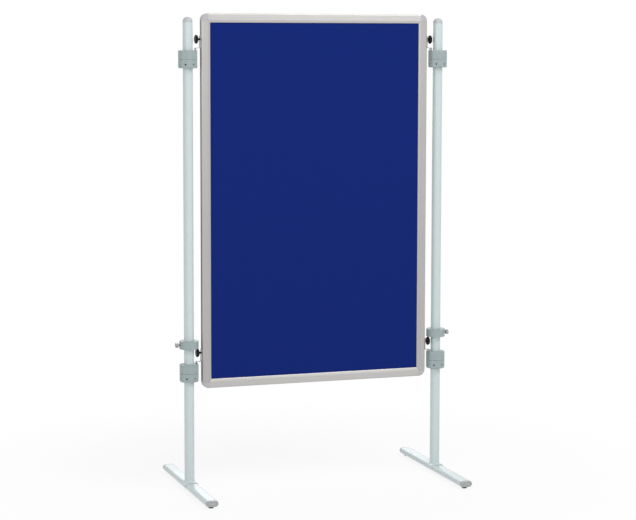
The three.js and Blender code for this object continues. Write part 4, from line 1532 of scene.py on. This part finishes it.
@dataclass
class Post:
    """A round post with its welded saddle and its domed cap."""

    radius: float = 16 * MM
    wall: float = 1.5 * MM
    rim: float = 0.4 * MM
    sides: int = 80
    floor: float = 9 * MM  # tapped plate in the bottom of the tube
    thread_radius: float = 4.3 * MM
    saddle: float = 3 * MM
    saddle_length: float = 54 * MM
    saddle_drop: float = 11 * MM
    saddle_edge: float = 1.6 * MM
    saddle_edge_steps: int = 5
    saddle_steps: int = 10
    weld: float = 2.4 * MM
    weld_ripples: int = 46
    weld_swell: float = 0.09
    ripple_loops: int = 6
    weld_section: Pairs = (
        (-0.5, -0.5),
        (-0.5, 1.0),
        (0.02, 1.0),
        (0.3, 0.45),
        (0.58, 0.16),
        (1.0, 0.02),
        (1.0, -0.5),
    )
    dome_radius: float = 15.6 * MM
    dome_height: float = 16 * MM
    dome_power: float = 0.85  # the lower, the fuller the dome
    dome_tip: float = 0.4 * MM  # radius of the small flat at the top of the dome
    dome_steps: int = 14
    dome_sides: int = 64
    dome_skirt: float = 1.2 * MM  # upright part of the cap above its flange
    dome_flange: float = 1.2 * MM
    flange_inset: float = 0.1 * MM  # from the tube's skin
    flange_edge: float = 0.3 * MM
    cap_fit: float = 0.3 * MM
    cap_plug: float = 14 * MM
    plug_taper: float = 1 * MM

    def saddle_section(self, foot: Foot, inset: float) -> Outline:
        """The saddle's section over the foot, its outer skin drawn in by an inset.

        Args:
            foot: The foot that it sits on.
            inset: How far the outer skin is drawn in.

        Returns:
            The outline about the foot's middle.
        """
        bottom = foot.height / 2 - self.saddle_drop

        def over(margin: float) -> Outline:
            """One skin of the saddle, from the right side over the top to the left side."""
            radius = foot.edge + margin
            x, y = foot.width / 2 - foot.edge, foot.height / 2 - foot.edge
            turns = quarter_steps(self.saddle_steps)
            right = [(x + radius * math.cos(t), y + radius * math.sin(t)) for t in turns]
            left = [(-px, py) for px, py in reversed(right)]
            return [(x + radius, bottom), *right, *left, (-x - radius, bottom)]

        return over(foot.fit + self.saddle - inset) + list(reversed(over(foot.fit)))

    def mesh(self, foot: Foot, foot_middle: float, top: float) -> bpy.types.Mesh:
        """The post with its saddle.

        Args:
            foot: The foot that it stands on.
            foot_middle: Height of the foot's middle.
            top: Height of the tube's top.

        Returns:
            The post's mesh.
        """
        bottom = foot_middle + foot.height / 2 + foot.fit
        inner, rim = self.radius - self.wall, self.rim
        floor = bottom + self.floor
        profile = [
            (self.radius, bottom),
            (self.radius, top - rim),
            (self.radius - rim, top),
            (inner + rim, top),
            (inner, top - rim),
            (inner, floor),
            (self.thread_radius, floor),
            (self.thread_radius, bottom),
        ]
        form = Form().turn(profile, self.sides, Ends.JOINED)
        half = self.saddle_length / 2
        shell = Form().push(
            lambda inset: self.saddle_section(foot, inset),
            rounded_levels(-half, half, self.saddle_edge, self.saddle_edge_steps),
        ).split_caps()
        shell.moved(raised(foot_middle) @ ALONG_FRONT)
        weld = Form().loft(self.weld_loops(foot, foot_middle), Ends.JOINED)
        return combined("post", form, [shell, weld], Boolean.JOIN)

    def weld_loops(self, foot: Foot, foot_middle: float) -> list[list[Point]]:
        """The painted weld where the tube meets the saddle, as small loops round the post."""
        flat = foot.width / 2 - foot.edge
        outer = foot.edge + foot.fit + self.saddle
        loops = []
        for angle in around(self.weld_ripples * self.ripple_loops):
            size = self.weld * (1 + self.weld_swell * math.cos(self.weld_ripples * angle))
            loop = []
            for across, up in self.weld_section:
                x, y, _ = polar(self.radius + across * size, angle, 0.0)
                over = max(0.0, abs(x) - flat)
                fall = outer - math.sqrt(max(outer**2 - over**2, 0.0))
                base = foot_middle + foot.height / 2 + foot.fit + self.saddle - fall
                loop.append((x, y, base + up * size))
            loops.append(loop)
        return loops

    def cap(self) -> bpy.types.Mesh:
        """The domed plastic cap, from z = 0 at the tube's end."""
        gap = self.cap_fit
        plug, wide = self.radius - self.wall - gap, self.radius - self.flange_inset
        flange = gap + self.dome_flange
        profile = [
            (plug - self.plug_taper, -self.cap_plug),
            (plug, self.plug_taper - self.cap_plug),
            (plug, gap),
            (wide, gap),
            (wide, flange - self.flange_edge),
            (wide - self.flange_edge, flange),
        ]
        shoulder = flange + self.dome_skirt
        rise = gap + self.dome_height - shoulder
        for turn in quarter_steps(self.dome_steps)[:-1]:
            radius = self.dome_radius * math.cos(turn) ** self.dome_power
            profile.append((radius, shoulder + rise * math.sin(turn)))
        profile.append((self.dome_tip, gap + self.dome_height))
        return Form().turn(profile, self.dome_sides).mesh("post_cap")


@dataclass
class Stands:
    """Both stands, with the hooks that carry the board on them."""

    post: Post = field(default_factory=Post)
    foot: Foot = field(default_factory=Foot)
    collar: Collar = field(default_factory=Collar)
    bracket: HookBracket = field(default_factory=HookBracket)
    lock: LockRing = field(default_factory=LockRing)
    knob: StarKnob = field(default_factory=StarKnob)
    fasteners: Fasteners = field(default_factory=Fasteners)

    def frame_of(self, side: Side) -> Matrix:
        """The side's own frame on its post's axis."""
        low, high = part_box(side.word + "_post")
        return Matrix.Translation(((low.x + high.x) / 2, 0, 0)) @ Matrix.Rotation(side.value, 4, "Z")

    def feet(self, shop: Workshop) -> None:
        """Builds the feet with their bolts, caps and glides."""
        low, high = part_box("left_foot")
        tube = self.foot.tube(high.y - low.y)
        bolt_low, bolt_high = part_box("left_foot_bolt")
        bolt = self.fasteners.foot_bolt(bolt_low.z, bolt_high.z)
        cap = self.foot.end_cap()
        glide = self.foot.glide(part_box("left_front_glide")[1].z)
        middle = (low.z + high.z) / 2
        for side in Side:
            here = self.frame_of(side)
            shop.set_down(tube, side.word + "_foot", here @ raised(middle), Slot.PAINT)
            shop.set_down(bolt, side.word + "_foot_bolt", here, Slot.ZINC)
            upright = Matrix.Translation(here.translation)
            for end in FootEnd:
                turned = upright @ Matrix.Rotation(end.value, 4, "Z")
                start = turned @ Matrix.Translation((0, low.y - self.foot.fit, middle))
                shop.set_down(cap, f"{side.word}_{end.word}_foot_cap", start, Slot.CAP)
                reach = low.y - self.foot.fit - self.foot.cap_length + self.foot.glide_inset
                under = turned @ Matrix.Translation((0, reach, 0))
                shop.set_down(glide, f"{side.word}_{end.word}_glide", under, Slot.RUBBER)

    def posts(self, shop: Workshop) -> None:
        """Builds the posts and their caps."""
        low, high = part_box("left_foot")
        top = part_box("left_post")[1].z
        post = self.post.mesh(self.foot, (low.z + high.z) / 2, top)
        cap = self.post.cap()
        # the dome gets the lighter copy of the cap plastic, a painted highlight
        cap.materials.append(shop.dome)
        for side in Side:
            here = self.frame_of(side)
            shop.set_down(post, side.word + "_post", here, Slot.PAINT)
            shop.set_down(cap, side.word + "_post_cap", here @ raised(top), Slot.CAP)

    def lock_rings(self, shop: Workshop) -> None:
        """Builds the lock rings and their thumb screws."""
        low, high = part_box("left_lock_ring")
        ring = self.lock.ring(high.z - low.z)
        middle = (low.z + high.z) / 2
        axis = self.frame_of(Side.LEFT).translation.x
        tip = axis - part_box("left_thumb_screw")[1].x
        screw = self.lock.screw.mesh(tip, self.lock.radius + self.lock.shank_shown)
        for side in Side:
            here = self.frame_of(side)
            shop.set_down(ring, side.word + "_lock_ring", here @ raised(low.z), Slot.RING)
            shop.set_down(screw, side.word + "_thumb_screw", here @ raised(middle), Slot.ZINC)

    def hooks(self, shop: Workshop) -> None:
        """Builds the collars, brackets, knobs and their screws."""
        axis = self.frame_of(Side.LEFT).translation.x
        hook_ring = self.collar.hook_ring()
        clamp_ring = self.collar.clamp_ring()
        bracket = self.bracket.mesh()
        knob = self.knob.mesh()
        stud_low, stud_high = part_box("left_upper_knob_stud")
        stud = self.fasteners.stud(stud_high.x - stud_low.x)
        knob_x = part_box("left_upper_knob")[0].x - axis
        grub = self.fasteners.grub_screw()
        for side in Side:
            here = self.frame_of(side)
            for level in Level:
                stem = f"{side.word}_{level.value}"
                ring_low, ring_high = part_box(stem + "_hook_ring")
                clamp_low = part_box(stem + "_clamp_ring")[0].z
                knob_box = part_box(stem + "_knob")
                knob_z = (knob_box[0].z + knob_box[1].z) / 2
                shop.set_down(hook_ring, stem + "_hook_ring", here @ raised(ring_low.z), Slot.RING)
                shop.set_down(clamp_ring, stem + "_clamp_ring", here @ raised(clamp_low), Slot.RING)
                shop.set_down(bracket, stem + "_hook_bracket", here @ raised(ring_high.z), Slot.ZINC)
                shop.set_down(knob, stem + "_knob", here @ Matrix.Translation((knob_x, 0, knob_z)), Slot.KNOB)
                stud_place = here @ Matrix.Translation((stud_low.x - axis, 0, knob_z))
                shop.set_down(stud, stem + "_knob_stud", stud_place, Slot.ZINC)
                self.grub(shop, stem, here, grub)
                shop.paint(stem + "_slot_nut", Slot.ZINC)

    def grub(self, shop: Workshop, stem: str, here: Matrix, mesh: bpy.types.Mesh) -> None:
        """Sets a grub screw in the direction in which its solid lies from the post.

        Args:
            shop: The workshop.
            stem: The start of the node's name.
            here: The frame of the side.
            mesh: The screw's mesh.
        """
        low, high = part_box(stem + "_grub_screw")
        middle = (low + high) / 2
        away = middle - here.translation
        start = away.xy.length - self.fasteners.grub_length / 2
        on_axis = Matrix.Translation((here.translation.x, 0, middle.z))
        turned = on_axis @ Matrix.Rotation(math.atan2(away.y, away.x), 4, "Z")
        place = turned @ Matrix.Translation((start, 0, 0))
        shop.set_down(mesh, stem + "_grub_screw", place, Slot.BLACK)

    def build(self, shop: Workshop) -> None:
        """Builds both stands with their hooks."""
        self.posts(shop)
        self.feet(shop)
        self.hooks(shop)
        self.lock_rings(shop)


# ---- Studio ----


@dataclass
class Camera:
    """The camera of the photograph, which is 636 by 520 pixels."""

    image_width: float = 636.0
    focal_pixels: float = 1923.4
    shift_pixels: float = -40.0  # keeps the posts upright and the partition in the middle
    sensor: float = 36.0
    place: Point = (-1.9953, -5.9110, 1.4541)
    yaw: float = math.radians(18.740)  # turned to the right of +Y
    pitch: float = math.radians(5.4193)  # down
    roll: float = math.radians(0.1114)

    def build(self) -> None:
        """Makes the camera and lets the scene use it."""
        data = bpy.data.cameras.new("camera")
        data.sensor_width = self.sensor
        data.lens = self.focal_pixels / self.image_width * self.sensor
        data.shift_y = self.shift_pixels / self.image_width
        camera = bpy.data.objects.new("camera", data)
        bpy.context.scene.collection.objects.link(camera)
        turn = Matrix.Rotation(-self.yaw, 4, "Z") @ Matrix.Rotation(math.pi / 2 - self.pitch, 4, "X")
        camera.matrix_world = Matrix.Translation(self.place) @ turn @ Matrix.Rotation(self.roll, 4, "Z")
        bpy.context.scene.camera = camera


@dataclass
class Lamp:
    """A soft square lamp that faces a point of the partition."""

    name: str
    place: Point
    size: float
    power: float
    target: Point = (0.0, 0.0, 0.7)

    def build(self) -> None:
        """Makes the lamp."""
        data = bpy.data.lights.new(self.name, "AREA")
        data.size = self.size
        data.energy = self.power
        lamp = bpy.data.objects.new(self.name, data)
        bpy.context.scene.collection.objects.link(lamp)
        lamp.location = self.place
        lamp.rotation_euler = (Vector(self.target) - Vector(self.place)).to_track_quat("-Z", "Y").to_euler()


@dataclass
class Studio:
    """A pale floor, a white surround and soft lamps."""

    floor_size: float = 60.0
    floor_colour: str = "f7f7f7"
    floor_share: float = 0.14  # of the floor's look that takes shadows, near the partition
    fade_start: float = 0.5  # distance from the middle at which the floor starts to turn white
    fade_end: float = 1.6
    fill: float = 0.52  # light of the surround on the partition
    lamps: tuple[Lamp, ...] = (
        Lamp("high", (1.5, -2.6, 4.2), 2.2, 76.0),
        Lamp("key", (-2.6, -4.2, 2.5), 2.6, 62.0),
        Lamp("back", (0.8, 4.4, 2.4), 3.0, 50.0),
    )

    def seen(self, nodes: Nodes) -> Socket:
        """1 for rays from the camera or off gloss and glass, and 0 for light."""
        path = nodes.add("LightPath")
        total = path.outputs["Is Camera Ray"]
        for name in ("Is Glossy Ray", "Is Transmission Ray"):
            total = nodes.maths("MAXIMUM", total, path.outputs[name])
        return total

    def surround(self) -> None:
        """A white world that lights softly and looks plain white."""
        world = bpy.data.worlds.new("surround")
        bpy.context.scene.world = world
        nodes = Nodes(world)
        light = nodes.tree.nodes["Background"]
        nodes.feed(light, Color=WHITE, Strength=self.fill)
        white = nodes.add("Background", Color=WHITE, Strength=1.0)
        mixed = nodes.blend(self.seen(nodes), light.outputs["Background"], white.outputs["Background"])
        nodes.feed(nodes.tree.nodes["World Output"], Surface=mixed)

    def floor_material(self) -> bpy.types.Material:
        """A pale floor that keeps shadows and otherwise fades into the surround."""
        material = bpy.data.materials.new("pale_floor")
        nodes = Nodes(material)
        nodes.tree.nodes.remove(nodes.tree.nodes["Principled BSDF"])
        matt = nodes.add("BsdfDiffuse", Color=linear(self.floor_colour))
        glow = nodes.add("Emission", Color=WHITE, Strength=1.0)
        distance = nodes.add("VectorMath", Vector=nodes.add("TexCoord").outputs["Object"])
        distance.operation = "LENGTH"
        fade = nodes.add("MapRange", Value=distance.outputs["Value"])
        fade.interpolation_type = "SMOOTHSTEP"
        nodes.feed(fade, From_Min=self.fade_start, From_Max=self.fade_end, To_Min=1.0 - self.floor_share)
        share = nodes.maths("MULTIPLY", self.seen(nodes), fade.outputs["Result"])
        mixed = nodes.blend(share, matt.outputs["BSDF"], glow.outputs["Emission"])
        nodes.feed(nodes.tree.nodes["Material Output"], Surface=mixed)
        return material

    def floor(self) -> None:
        """The floor, a plain large square."""
        half = self.floor_size / 2
        mesh = bpy.data.meshes.new("floor")
        corners = [(-half, -half, 0.0), (half, -half, 0.0), (half, half, 0.0), (-half, half, 0.0)]
        mesh.from_pydata(corners, [], [(0, 1, 2, 3)])
        mesh.materials.append(self.floor_material())
        floor = bpy.data.objects.new("floor", mesh)
        bpy.context.scene.collection.objects.link(floor)

    def build(self) -> None:
        """Makes the floor, the surround and the lamps."""
        bpy.context.scene.view_settings.view_transform = "Standard"
        self.surround()
        self.floor()
        for lamp in self.lamps:
            lamp.build()


def main() -> None:
    """Builds the partition, its studio and its camera."""
    logging.basicConfig(level=logging.INFO, format="%(name)s %(message)s")
    shop = Workshop()
    Camera().build()
    Studio().build()
    Board().build(shop)
    Stands().build(shop)


if __name__ == "__main__":
    main()
